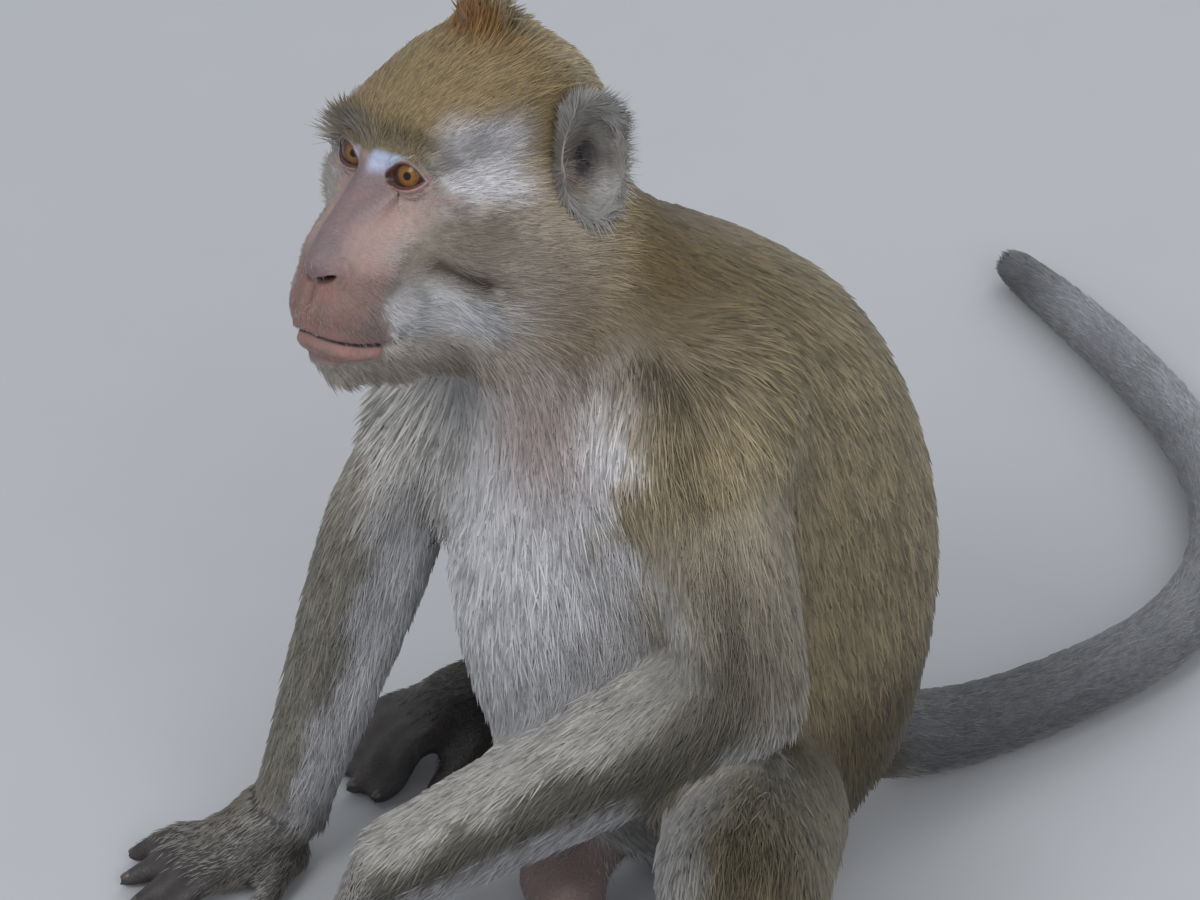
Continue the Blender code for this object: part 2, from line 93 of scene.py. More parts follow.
def ramp(value: Array, low: float, high: float) -> Array:
    """A smooth step from 0 at low to 1 at high: t squared times (3 - 2t)."""
    share = np.clip((value - low) / (high - low), 0.0, 1.0)
    return share * share * (3 - 2 * share)


def bell(value: Array, width: float) -> Array:
    """A bump of height 1: e to the minus of value over width, squared."""
    return np.exp(-((value / width) ** 2))


def distance(points: Array, place: Place) -> Array:
    """Each point's distance from a place."""
    return np.linalg.norm(points - np.array(place), axis=1)


def near_to(points: Array, place: Place, reach: float) -> Array:
    """A bell of each point's distance from a place."""
    return bell(distance(points, place), reach)


def blend(first: Array, second: Array, share: Array) -> Array:
    """Rows part of the way from first to second, where share has one number a row."""
    return first + (second - first) * np.asarray(share)[..., None]


def layered(colour: Array, *layers: tuple[Array, Array]) -> Array:
    """Rows with layers blended over them in turn, each a colour and its share."""
    for shade, share in layers:
        colour = blend(colour, shade, share)
    return colour


def tiled(row: Array, like: Array) -> Array:
    """One row repeated as often as another array has rows."""
    return np.tile(row, (len(like), 1))


def mirrored(q: Array) -> Array:
    """Points with X made positive, so that one description serves both sides."""
    return np.stack([np.abs(q[:, 0]), q[:, 1], q[:, 2]], 1)


def circle(count: int) -> Array:
    """Evenly spaced turns round a circle, in radians."""
    return np.arange(count) * 2 * math.pi / count


def flattened(vectors: Array, normals: Array) -> Array:
    """Each vector less its part along the normal, made one long."""
    along = np.sum(vectors * normals, axis=-1, keepdims=True)
    return unit(vectors - along * normals)


def hashed(cells: Array, seed: int) -> Array:
    """A repeatable number from 0 to 1 for each row of whole numbers: its bits multiplied and mixed.

    Args:
        cells: rows of whole numbers.
        seed: the pattern's number.

    Returns:
        One number a row.
    """
    i, j, k = (cells[..., n].astype(np.int64) for n in range(3))
    value = (i * 73856093) ^ (j * 19349663) ^ (k * 83492791) ^ (seed * 40503)
    value = (value ^ (value >> 13)) * 1274126177 & 0xFFFFFFFF
    return ((value ^ (value >> 16)) & 0xFFFF) / 65535.0


def noise(points: Array, size: float, seed: int) -> Array:
    """Smooth noise from 0 to 1: the hashed corners of a grid of that size, mixed by smooth steps.

    Args:
        points: rows of X, Y and Z.
        size: the grid's step.
        seed: the pattern's number.

    Returns:
        One number a point.
    """
    scaled = points / size + 311.7
    cells = np.floor(scaled)
    share = ramp(scaled - cells, 0.0, 1.0)
    total = np.zeros(len(points))
    for corner in np.ndindex(2, 2, 2):
        weight = np.prod(np.where(np.array(corner) == 1, share, 1 - share), axis=1)
        total += weight * hashed(cells + corner, seed)
    return total


def ripple(points: Array, size: float, seed: int) -> Array:
    """Smooth noise from -0.5 to 0.5."""
    return noise(points, size, seed) - 0.5


def along_path(points: Array, path: Array) -> tuple[Array, Array]:
    """Where each point lies against a path of straight runs.

    Args:
        points: rows of X, Y and Z.
        path: the corners of the path.

    Returns:
        The distance from the path, and the path's way at the nearest place.
    """
    best = np.full(len(points), np.inf)
    way = np.zeros_like(points)
    for first, last in zip(path[:-1], path[1:]):
        run = last - first
        t = np.clip((points - first) @ run / (run @ run), 0, 1)
        off = np.linalg.norm(points - first - t[:, None] * run, axis=1)
        nearer = off < best
        best = np.where(nearer, off, best)
        way[nearer] = run / np.linalg.norm(run)
    return best, way


def turn_matrix(axis: str, degrees: float) -> Array:
    """A 3 by 3 turn about X, Y or Z."""
    return np.array(Matrix.Rotation(math.radians(degrees), 3, axis))


# ---- meshes


def linked(name: str, data: bpy.types.ID) -> Object:
    """A new object of the scene that shows the data.

    Args:
        name: the object's name.
        data: what it shows.

    Returns:
        The object.
    """
    thing = bpy.data.objects.new(name, data)
    bpy.context.scene.collection.objects.link(thing)
    return thing


def build_mesh(name: str, points: Array, faces: Array, material: Material) -> Object:
    """A smooth mesh object in metres.

    Args:
        name: the piece's name.
        points: rows of X, Y and Z in centimetres.
        faces: rows of three or four corners.
        material: its finish.

    Returns:
        The object, linked to the scene, at the origin.
    """
    mesh = bpy.data.meshes.new(name)
    corners = faces.shape[1]
    mesh.vertices.add(len(points))
    mesh.vertices.foreach_set("co", (points * METRES).astype(np.float32).ravel())
    mesh.loops.add(faces.size)
    mesh.loops.foreach_set("vertex_index", faces.astype(np.int32).ravel())
    mesh.polygons.add(len(faces))
    mesh.polygons.foreach_set("loop_start", np.arange(len(faces), dtype=np.int32) * corners)
    mesh.polygons.foreach_set("use_smooth", np.ones(len(faces), dtype=bool))
    mesh.update(calc_edges=True)
    mesh.materials.append(material)
    return linked(name, mesh)


def paint(mesh: Mesh, colours: Array) -> None:
    """Puts one colour a vertex on the mesh, as the attribute that the finishes read.

    Args:
        mesh: the mesh.
        colours: one for each vertex.
    """
    layer = mesh.color_attributes.new(TINT, "BYTE_COLOR", "POINT")
    rows = np.ones((len(colours), 4), dtype=np.float32)
    rows[:, :3] = np.clip(colours, 0, 1)
    layer.data.foreach_set("color", rows.ravel())


def grid_faces(rows: int, columns: int, ring: bool = False) -> Array:
    """Four-cornered faces over a grid whose columns close, and in a ring its rows too.

    Args:
        rows: how many rows.
        columns: how many columns.
        ring: whether the rows close too.

    Returns:
        Rows of four corners.
    """
    i, j = np.meshgrid(np.arange(rows if ring else rows - 1), np.arange(columns), indexing="ij")
    k, m = (i + 1) % rows, (j + 1) % columns
    return np.stack([i * columns + j, i * columns + m, k * columns + m, k * columns + j], -1).reshape(-1, 4)


@contextmanager
def edited(mesh: Mesh) -> Iterator[bmesh.types.BMesh]:
    """Opens a mesh for editing, and writes it back afterwards.

    Args:
        mesh: the mesh.

    Returns:
        The mesh, open for editing.
    """
    bm = bmesh.new()
    bm.from_mesh(mesh)
    yield bm
    bm.to_mesh(mesh)
    bm.free()


def cleaned(thing: Object) -> Object:
    """Merges the doubles of a closed grid's poles and turns its faces outward.

    Args:
        thing: the object.

    Returns:
        The same object.
    """
    with edited(thing.data) as bm:
        bmesh.ops.remove_doubles(bm, verts=bm.verts[:], dist=1e-6)
        bmesh.ops.dissolve_degenerate(bm, dist=1e-7, edges=bm.edges[:])
        bmesh.ops.recalc_face_normals(bm, faces=bm.faces[:])
    return thing


def read_rows(items: bpy.types.bpy_prop_collection, key: str, width: int, kind: type) -> Array:
    """One property of many items, as rows of a given width.

    Args:
        items: the items.
        key: the property.
        width: numbers in a row.
        kind: the kind of number.

    Returns:
        The rows.
    """
    rows = np.empty(len(items) * width, dtype=kind)
    items.foreach_get(key, rows)
    return rows.reshape(-1, width)


def mesh_points(mesh: Mesh) -> Array:
    """The mesh's vertices in centimetres."""
    return read_rows(mesh.vertices, "co", 3, np.float32).astype(float) / METRES


def set_points(mesh: Mesh, points: Array) -> None:
    """Moves the mesh's vertices to points in centimetres."""
    mesh.vertices.foreach_set("co", (points * METRES).astype(np.float32).ravel())
    mesh.update()


def mesh_edges(mesh: Mesh) -> Array:
    """The mesh's edges as rows of two vertices."""
    return read_rows(mesh.edges, "vertices", 2, np.int32)


def mesh_triangles(mesh: Mesh) -> Array:
    """The mesh's faces split into triangles."""
    mesh.calc_loop_triangles()
    return read_rows(mesh.loop_triangles, "vertices", 3, np.int32)


def point_normals(points: Array, triangles: Array) -> Array:
    """Each vertex's normal: the sum of its triangles' cross products, made one long.

    Args:
        points: rows of X, Y and Z.
        triangles: rows of three vertices.

    Returns:
        One normal a vertex.
    """
    a, b, c = (points[triangles[:, n]] for n in range(3))
    faces = np.cross(b - a, c - a)
    total = np.empty_like(points)
    for axis in range(3):
        total[:, axis] = np.bincount(triangles.ravel(), np.repeat(faces[:, axis], 3), len(points))
    return unit(total)


def relaxed(values: Array, edges: Array, weights: Array | float, rounds: int) -> Array:
    """Values drawn towards the mean of their neighbours, round after round.

    Args:
        values: one number, or one row of numbers, for each vertex.
        edges: rows of two vertices.
        weights: how far each vertex is drawn in a round, from 0 to 1.
        rounds: how often.

    Returns:
        The values in their first shape.
    """
    count = len(values)
    ends = np.concatenate([edges[:, 0], edges[:, 1]])
    starts = np.concatenate([edges[:, 1], edges[:, 0]])
    near = np.maximum(np.bincount(ends, minlength=count), 1)
    result = values.astype(float).reshape(count, -1)
    for _ in range(rounds):
        for column in range(result.shape[1]):
            mean = np.bincount(ends, result[starts, column], count) / near
            result[:, column] += weights * (mean - result[:, column])
    return result.reshape(values.shape)


def evaluated(thing: Object, name: str) -> Mesh:
    """The object's mesh with its modifiers applied.

    Args:
        thing: the object.
        name: the new mesh's name.

    Returns:
        The new mesh.
    """
    graph = bpy.context.evaluated_depsgraph_get()
    mesh = bpy.data.meshes.new_from_object(thing.evaluated_get(graph))
    mesh.name = name
    return mesh


# ---- the head's frame


@dataclass(frozen=True)
class HeadFrame:
    """The head's own axes: the point between the eyes, and how it is turned, nodded and leant."""

    middle: Place = (-2.5, -13.1, 34.1)
    turn: float = 9.8
    nod: float = -11.2
    lean: float = -9.9

    def axes(self) -> Array:
        """The head's axes as columns."""
        return turn_matrix("Z", self.turn) @ turn_matrix("X", self.nod) @ turn_matrix("Y", self.lean)

    def inward(self, points: Array) -> Array:
        """World points in the head's frame."""
        return (points - np.array(self.middle)) @ self.axes()

    def outward(self, points: Array) -> Array:
        """Head points in the world's frame."""
        return points @ self.axes().T + np.array(self.middle)

    def ways(self, vectors: Array) -> Array:
        """Directions of the head's frame in the world's."""
        return vectors @ self.axes().T

    def ways_inward(self, vectors: Array) -> Array:
        """Directions of the world in the head's frame."""
        return vectors @ self.axes()


HEAD = HeadFrame()


# ---- limbs, hands and feet


SIDES = ("left", "right")
SHOULDER = {"left": (4.9, -5.2, 25.4), "right": (-5.5, -5.0, 25.6)}
ELBOW = {"left": (8.6, -5.1, 16.2), "right": (-6.6, -10.6, 17.2)}
WRIST = {"left": (-1.2, -13.9, 5.0), "right": (-8.8, -14.3, 2.9)}
HIP = {"left": (3.5, -1.1, 6.9), "right": (-3.5, -1.1, 6.9)}
KNEE = {"left": (13.2, -8.5, 12.2), "right": (-12.2, -4.6, 15.6)}
ANKLE = {"left": (9.4, -5.6, 3.2), "right": (-11.3, -0.6, 3.2)}
HAND_HEADING = {"left": (0.10, -0.99), "right": (-0.14, -0.99)}
FOOT_HEADING = {"left": (0.42, -0.91), "right": (-0.02, -1.0)}
TAIL_LINE = np.array((
    (0.0, 4.6, 4.6), (0.0, 8.2, 2.5), (0.2, 12.5, 1.75), (0.1, 17.7, 1.62), (-1.0, 22.7, 1.58),
    (-4.5, 27.6, 1.52), (-10.9, 31.2, 1.44), (-19.1, 32.8, 1.34), (-26.6, 33.3, 1.1),
))


@dataclass(frozen=True)
class Lie:
    """How the coat grows on one part: how deep the skin lies under it, and its hairs' make."""

    depth: float
    length: float
    width: float
    lift: float
    density: float
    way: Place


def run(first: Place, last: Place, drop: float) -> Place:
    """The way from one joint to the next, with a drop added for the hair's weight."""
    way = unit(np.subtract(last, first))
    return tuple(unit(way - np.array((0, 0, drop))))


def lies() -> dict[str, Lie]:
    """The coat of each part of the body, by the name of its solid.

    Returns:
        Each part's coat by name.
    """
    table = {
        "head": Lie(0.35, 1.1, 0.042, 12, 300, (0, 1, 0)),
        "neck": Lie(0.55, 1.8, 0.043, 12, 130, (0.1, 0.45, -0.9)),
        "chest": Lie(0.55, 1.8, 0.045, 11, 104, (0, 0.3, -1)),
        "belly": Lie(0.55, 1.8, 0.046, 11, 100, (0, 0.2, -1)),
        "pelvis": Lie(0.5, 1.7, 0.05, 11, 90, (0, 0.5, -0.85)),
        "scrotum": Lie(0.05, 0.4, 0.03, 22, 8, (0, -0.2, -1)),
    }
    for side in SIDES:
        table[f"upper_arm_{side}"] = Lie(0.45, 1.6, 0.048, 11, 112, run(SHOULDER[side], ELBOW[side], 0.2))
        table[f"forearm_{side}"] = Lie(0.35, 1.4, 0.045, 12, 125, run(ELBOW[side], WRIST[side], 0.35))
        table[f"hand_{side}"] = Lie(0.03, 0.55, 0.036, 14, 130, (*HAND_HEADING[side], -0.35))
        table[f"thigh_{side}"] = Lie(0.45, 1.6, 0.05, 11, 100, run(HIP[side], KNEE[side], 0.4))
        table[f"shin_{side}"] = Lie(0.33, 1.2, 0.047, 11, 110, run(KNEE[side], ANKLE[side], 0.1))
        table[f"foot_{side}"] = Lie(0.03, 0.55, 0.036, 14, 130, (*FOOT_HEADING[side], -0.1))
    return table | {f"tail_{number}": Lie(0.24, 0.8, 0.05, 10, 100, (0, 1, 0)) for number in range(1, 5)}


LIES = lies()
FLESH = tuple(LIES)
FRONTED = ("chest", "belly")
PAWS = tuple(name for name in FLESH if name.startswith(("hand", "foot")))


def numbers(*starts: str) -> list[int]:
    """The numbers of the parts whose names start in one of these ways."""
    return [number for number, name in enumerate(FLESH) if name.startswith(starts)]


def share_of(shares: Array, *starts: str) -> Array:
    """How much each place belongs to the parts whose names start in one of these ways."""
    return shares[:, numbers(*starts)].sum(axis=1)


def lie_rows(shares: Array, key: str) -> Array:
    """One fact of the parts' coats, mixed by how much of each part a place belongs to."""
    return shares @ np.array([getattr(lie, key) for lie in LIES.values()], float)


# ---- finishes


@dataclass(frozen=True)
class Bump:
    """One layer of relief: the size of its features and how high they stand, in metres."""

    size: float
    height: float
    cells: bool = False


@dataclass(frozen=True)
class Finish:
    """A surface that takes its colour from the mesh's own tint, with a fine mottle and relief."""

    name: str
    roughness: float
    specular: float
    mottle: float
    mottle_size: float
    bumps: tuple[Bump, ...] = ()
    subsurface: float = 0.0
    bleed: Place = (1.0, 0.4, 0.25)
    bleed_scale: float = 0.002
    sheen: float = 0.0
    sheen_roughness: float = 0.5
    coat: float = 0.0
    coat_roughness: float = 0.03

    def material(self) -> Material:
        """Makes the node material: tint times mottle for the colour, and the bumps one over another.

        Returns:
            The material.
        """
        material = bpy.data.materials.new(self.name)
        material.use_nodes = True
        tree = material.node_tree
        shader = tree.nodes["Principled BSDF"]
        sockets = {
            "Roughness": self.roughness, "Specular IOR Level": self.specular,
            "Sheen Weight": self.sheen, "Sheen Roughness": self.sheen_roughness,
            "Coat Weight": self.coat, "Coat Roughness": self.coat_roughness,
            "Subsurface Weight": self.subsurface, "Subsurface Radius": self.bleed,
            "Subsurface Scale": self.bleed_scale,
        }
        for socket, value in sockets.items():
            shader.inputs[socket].default_value = value
        place = tree.nodes.new("ShaderNodeTexCoord").outputs["Object"]
        tint = tree.nodes.new("ShaderNodeVertexColor")
        tint.layer_name = TINT
        shade = self.texture(tree, place, self.mottle_size, False)
        spread = tree.nodes.new("ShaderNodeMapRange")
        spread.inputs["To Min"].default_value = 1 - self.mottle
        spread.inputs["To Max"].default_value = 1 + self.mottle
        tree.links.new(shade, spread.inputs["Value"])
        tinted = tree.nodes.new("ShaderNodeVectorMath")
        tinted.operation = "MULTIPLY"
        tree.links.new(tint.outputs["Color"], tinted.inputs[0])
        tree.links.new(spread.outputs["Result"], tinted.inputs[1])
        tree.links.new(tinted.outputs["Vector"], shader.inputs["Base Color"])
        below = None
        for bump in self.bumps:
            relief = tree.nodes.new("ShaderNodeBump")
            relief.inputs["Strength"].default_value = 1.0
            relief.inputs["Distance"].default_value = bump.height
            tree.links.new(self.texture(tree, place, bump.size, bump.cells), relief.inputs["Height"])
            if below is not None:
                tree.links.new(below, relief.inputs["Normal"])
            below = relief.outputs["Normal"]
        if below is not None:
            tree.links.new(below, shader.inputs["Normal"])
        return material

    def texture(
        self, tree: bpy.types.NodeTree, place: bpy.types.NodeSocket, size: float, cells: bool
    ) -> bpy.types.NodeSocket:
        """A noise or cell pattern of the given size in metres, from 0 to 1.

        Args:
            tree: the material's nodes.
            place: the socket that gives places.
            size: the size of its features.
            cells: whether it is made of cells.

        Returns:
            The pattern's socket.
        """
        node = tree.nodes.new("ShaderNodeTexVoronoi" if cells else "ShaderNodeTexNoise")
        node.inputs["Scale"].default_value = 1 / size
        tree.links.new(place, node.inputs["Vector"])
        return node.outputs["Distance" if cells else "Fac"]


SKIN_FINISH = Finish(
    "skin", 0.52, 0.35, 0.12, 0.0015, (Bump(0.0011, 0.00018, True), Bump(0.004, 0.0003)), subsurface=0.12,
)
COAT_FINISH = Finish("coat", 0.62, 0.25, 0.10, 0.006, sheen=0.15)
EYE_FINISH = Finish("eye", 0.3, 0.1, 0.05, 0.0004, (Bump(0.0003, 0.00002),), coat=0.3)
LID_FINISH = Finish("lid_rim", 0.35, 0.5, 0.2, 0.0006, (Bump(0.0005, 0.00005),), coat=0.3)
EAR_FINISH = Finish(
    "ear", 0.55, 0.35, 0.15, 0.002, (Bump(0.0012, 0.0001, True), Bump(0.003, 0.0003)), subsurface=0.15,
)
NAIL_FINISH = Finish("nail", 0.35, 0.5, 0.2, 0.0008, (Bump(0.0006, 0.00005),))
FLOOR_FINISH = Finish("floor", 0.9, 0.1, 0.02, 0.05)


# ---- colours, in linear light


def tone(red: float, green: float, blue: float) -> Array:
    """One colour in linear light."""
    return np.array((red, green, blue))


OLIVE = tone(0.235, 0.197, 0.128)
GOLDEN = tone(0.275, 0.208, 0.112)
RUFOUS = tone(0.19, 0.095, 0.03)
BROWN = tone(0.13, 0.11, 0.078)
BISTRE = tone(0.065, 0.05, 0.035)
GREY = tone(0.33, 0.315, 0.295)
PALE = tone(0.44, 0.43, 0.42)
WHITE = tone(0.52, 0.52, 0.545)
CREAM = tone(0.43, 0.41, 0.38)
SLATE = tone(0.185, 0.19, 0.205)

PINK = tone(0.30, 0.21, 0.19)
ROSE = tone(0.165, 0.087, 0.074)
MAUVE = tone(0.15, 0.108, 0.115)
LIP = tone(0.215, 0.12, 0.103)
# Painted shade for the seam between the lips and the inside of the nostrils.
RECESS_SHADE = tone(0.06, 0.028, 0.032)
LID_BLUE = tone(0.30, 0.345, 0.47)
LID_RED = tone(0.12, 0.05, 0.046)
CHEST_PINK = tone(0.32, 0.25, 0.235)
SOOT = tone(0.06, 0.052, 0.052)
SCROTUM_PINK = tone(0.22, 0.155, 0.15)

AMBER = tone(0.085, 0.034, 0.008)
GOLD = tone(0.175, 0.078, 0.019)
PUPIL = tone(0.008, 0.006, 0.006)
EYE_DARK = tone(0.025, 0.010, 0.008)
EYE_BROWN = tone(0.06, 0.025, 0.02)
RIM_DARK = tone(0.055, 0.02, 0.02)
EAR_SKIN = tone(0.19, 0.165, 0.155)
EAR_ROSE = tone(0.28, 0.13, 0.11)
# Painted shade over the dusky skin of the ear's hollow.
EAR_HOLLOW_SHADE = tone(0.012, 0.008, 0.011)
FRINGE_DARK = tone(0.17, 0.155, 0.135)
FRINGE_PALE = tone(0.42, 0.415, 0.415)
HORN = tone(0.05, 0.042, 0.042)
FLOOR_PALE = tone(0.42, 0.43, 0.45)


# ---- the face


@dataclass
class EyePlan:
    """Where an eye lies and how its lids open, in the head's frame, angles seen from the ball's middle."""

    side: Side
    spread: float = 1.36
    depth: float = 0.68
    drop: float = 0.08
    ball: float = 0.9
    lid: float = 1.0
    corner: float = 0.14
    middle: float = 11.0
    half: float = 49.0
    inner_pitch: float = -13.0
    outer_pitch: float = -1.5
    upper: float = 37.0
    lower: float = 15.5
    beyond: float = 26.0
    almond: float = 2.3

    def centre(self) -> Array:
        """The ball's middle."""
        return np.array((self.side.value * self.spread, self.depth, -self.side.value * self.drop))

    def shell(self, yaw: Array) -> Array:
        """The radius of the lids' shell: the ball's and a little more, drawn out to the inner corner."""
        return self.lid + self.corner * ramp(-yaw, 14, 40)

    def angles(self, q: Array) -> tuple[Array, Array]:
        """Yaw away from the nose and pitch upward about the ball's middle, in degrees.

        Args:
            q: head points.

        Returns:
            Both angles.
        """
        way = unit(q - self.centre())
        yaw = np.degrees(np.arctan2(way[:, 0] * self.side.value, -way[:, 1]))
        return yaw, np.degrees(np.arcsin(np.clip(way[:, 2], -1, 1)))

    def direction(self, yaw: Array, pitch: Array) -> Array:
        """The way out from the ball's middle at a yaw and pitch.

        Args:
            yaw: degrees away from the nose.
            pitch: degrees upward.

        Returns:
            One way for each pair of angles.
        """
        yaw, pitch = np.radians(yaw), np.radians(pitch)
        level = np.cos(pitch)
        outward = self.side.value * np.sin(yaw) * level
        return np.stack([outward, -np.cos(yaw) * level, np.sin(pitch)], axis=-1)

    def base(self, yaw: Array) -> Array:
        """The pitch of the straight line from the inner corner to the outer."""
        share = (yaw - self.middle + self.half) / (2 * self.half)
        return self.inner_pitch + (self.outer_pitch - self.inner_pitch) * share

    def openness(self, yaw: Array, pitch: Array) -> Array:
        """Degrees inside the lids' opening: the almond's half-height less the height off its line.

        Args:
            yaw: degrees away from the nose.
            pitch: degrees upward.

        Returns:
            Degrees, below 0 outside.
        """
        share = np.clip(np.abs(yaw - self.middle) / self.half, 0, 1.6)
        above = pitch - self.base(yaw)
        high = np.where(share < 1, np.where(above > 0, self.upper, self.lower), self.beyond)
        return high * (1 - share**self.almond) - np.abs(above)

    def seen(self, q: Array) -> tuple[Array, Array]:
        """How far each point is from the ball's middle, and its degrees inside the opening."""
        return distance(q, self.centre()), self.openness(*self.angles(q))

    def rim(self, count: int) -> tuple[Array, Array]:
        """Yaw and pitch round the opening, from the outer corner over the top.

        Args:
            count: how many places.

        Returns:
            Both angles of each place.
        """
        turn = circle(count)
        share = np.cos(turn)
        arch = 1 - np.abs(share) ** self.almond
        yaw = self.middle + self.half * share
        return yaw, self.base(yaw) + np.where(np.sin(turn) > 0, self.upper, -self.lower) * arch


EYES = {"left": EyePlan(Side.LEFT), "right": EyePlan(Side.RIGHT, spread=1.26)}
CREASE = np.array(((2.5, 0.5, -3.05), (3.0, 1.1, -3.4), (3.6, 1.7, -3.8)))
CREASE_HAIR = np.array(((2.5, 0.5, -3.05), (3.0, 1.1, -3.4), (3.5, 1.6, -3.75)))
WING_GROOVE = np.array(((0.95, -2.2, -2.75), (1.15, -2.2, -3.15), (1.0, -2.4, -3.55)))
EYE_FOLDS = tuple(
    np.array(((0.8, -0.35, rise + 0.25), (1.35, -0.2, rise - drop), (2.2, 0.15, rise + 0.25)))
    for rise, drop in ((-0.95, 0.05), (-1.35, 0.15))
)


@dataclass
class Face:
    """The relief and the colours of the bare face, as functions of place in the head's frame."""

    axis_back: float = 0.5
    mouth_corner: float = 62.0
    mouth_line: tuple[tuple[float, ...], ...] = (
        (0, 14, 30, 45, 62, 80), (-5.28, -5.42, -5.62, -5.66, -5.5, -5.3),
    )
    lip_profile: tuple[Place, ...] = (
        (-0.2, 0.0, 0.07), (0.05, 0.2, 0.15), (0.22, -0.4, 0.31), (-0.08, -0.9, 0.2),
    )
    tip: Place = (0.0, -2.75, -3.0)
    tip_size: Place = (0.62, 1, 0.42)
    wing: Place = (0.82, -2.45, -3.1)
    nostril: Place = (0.56, -2.8, -3.42)
    nostril_way: Place = (0.62, 0.42, 0.28)
    nostril_depth: float = 0.5

    def bearings(self, q: Array) -> Array:
        """Degrees round the muzzle's upright axis from its middle."""
        return np.degrees(np.arctan2(q[:, 0], -(q[:, 1] - self.axis_back)))

    def above_mouth(self, q: Array) -> Array:
        """How high each point stands over the mouth's line at its bearing."""
        return q[:, 2] - np.interp(np.abs(self.bearings(q)), *self.mouth_line)

    def bare(self, q: Array) -> Array:
        """How bare the skin is, from 0 in the coat to 1 on the face: before one edge and under another.

        Args:
            q: head points.

        Returns:
            One number a row.
        """
        x, y, z = q.T
        ragged = 0.55 * ripple(q, 0.35, 71)
        edge = np.interp(
            z,
            (-7.2, -6.6, -6.15, -5.5, -4.9, -3.9, -2.9, -1.6, 0.0, 0.6),
            (-3.4, -2.4, -1.3, -0.75, -1.2, -1.4, -0.85, -0.05, 1.0, 1.1),
        )
        high = np.interp(
            x,
            (-2.8, -2.3, -1.65, -1.15, -0.5, 0, 0.5, 1.15, 1.65, 2.3, 2.8),
            (-0.55, 0.0, 0.32, 0.5, 0.5, 0.56, 0.76, 0.8, 0.44, 0.08, -0.45),
        )
        return ramp(edge + ragged - y, -0.3, 0.35) * ramp(high + 0.4 * ragged - z, -0.12, 0.16)

    def lids(self, q: Array) -> Array:
        """Draws the skin onto a shell over each eyeball and opens it.

        Near an eye the radius from the ball's middle becomes the lids' shell with its folds, and inside the
        opening it drops under the ball's own.

        Args:
            q: head points.

        Returns:
            The points moved.
        """
        result = q.copy()
        for plan in EYES.values():
            centre = plan.centre()
            out = result - centre
            radius = np.linalg.norm(out, axis=1)
            yaw, pitch = plan.angles(result)
            wide = (yaw - 12) * np.cos(np.radians(pitch)) / np.where(yaw > 12, 56, 62)
            tall = (pitch - 4) / np.where(pitch > 4, 50, 52)
            near = 1 - ramp(np.hypot(wide, tall), 0.88, 1.25)
            near = near * ramp(result[:, 0] * plan.side.value, 0.2, 0.62)
            near = near * (radius < 2.4) * (result[:, 1] < 1.6)
            inside = plan.openness(yaw, pitch)
            fold = 0.03 * bell(inside + 5, 4.5) - 0.045 * bell(inside + 14, 4) + 0.05 * bell(inside + 23, 6)
            cut = (plan.lid - 0.72) * ramp(inside, 0.0, 6.0) * (1 - 0.45 * ramp(-yaw, 22, 32))
            radius = radius + near * (plan.shell(yaw) + fold - cut - radius)
            result = centre + unit(out) * radius[:, None]
        return result

    def relief(self, q: Array) -> Array:
        """How far the skin stands out or in, from the lips, chin, nose, cheek crease and folds.

        Each form is a height times bells and ramps of the distance to the mouth's line or a path.

        Args:
            q: head points.

        Returns:
            The heights in centimetres.
        """
        bearing = self.bearings(q)
        folded = mirrored(q)
        side, y, z = folded.T
        turn = np.abs(bearing)
        above = self.above_mouth(q)
        front = ramp(1.2 - y, 0, 0.6)
        lip = ramp(self.mouth_corner - turn, -6, 14) * front
        out = lip * sum(height * bell(above - place, width) for height, place, width in self.lip_profile)
        out -= 0.16 * bell(turn, 48) * front * ramp(-above, -0.04, 0.16) * (1 - ramp(-above, 1.0, 2.0))
        corner = np.hypot((turn - self.mouth_corner) / 9, above / 0.45)
        out += 0.06 * bell(corner - 1.3, 0.5) * front
        groove = ramp(z, -5.0, -4.5) * ramp(-z, 3.5, 3.8) * front
        out += (0.05 * bell(side - 0.3, 0.14) - 0.09 * bell(side, 0.12)) * groove
        out += 0.09 * bell(side - 1.0, 0.55) * bell(z + 4.35, 0.6) * front
        wrinkle = ripple(np.stack([bearing * 0.03, z * 0.3, y * 0], 1), 0.12, 62)
        out += 0.035 * lip * wrinkle * bell(above + 0.4, 0.35)
        ridge = np.interp(z, (-3.2, -2.0, -0.6, 0.6), (0.55, 0.42, 0.34, 0.5))
        bridge = ramp(z, -3.3, -2.9) * ramp(-z, -0.5, 0.2) * front
        out += 0.07 * (bell(side, 0.3) - bell(side - ridge - 0.28, 0.22)) * bridge
        out -= 0.15 * bell(along_path(folded, CREASE)[0], 0.3)
        for fold in EYE_FOLDS:
            out -= 0.02 * bell(along_path(folded, fold)[0], 0.13)
        return out

    def nostrils(self, q: Array) -> tuple[Array, Array]:
        """How deep in a nostril each point is, and the way inward.

        Args:
            q: head points.

        Returns:
            Depths from 0 to 1, and one way a row.
        """
        way = unit(np.array(self.nostril_way))
        offset = mirrored(q) - np.array(self.nostril)
        along = offset @ way
        upright = offset[:, 2] - along * way[2]
        depth = bell(along, 0.34) * bell(upright + 0.03, 0.10) * ramp(-q[:, 1], 1.7, 2.1)
        inward = np.stack([-0.15 * np.sign(q[:, 0]), np.full(len(q), 0.85), np.full(len(q), 0.5)], 1)
        return depth, unit(inward)

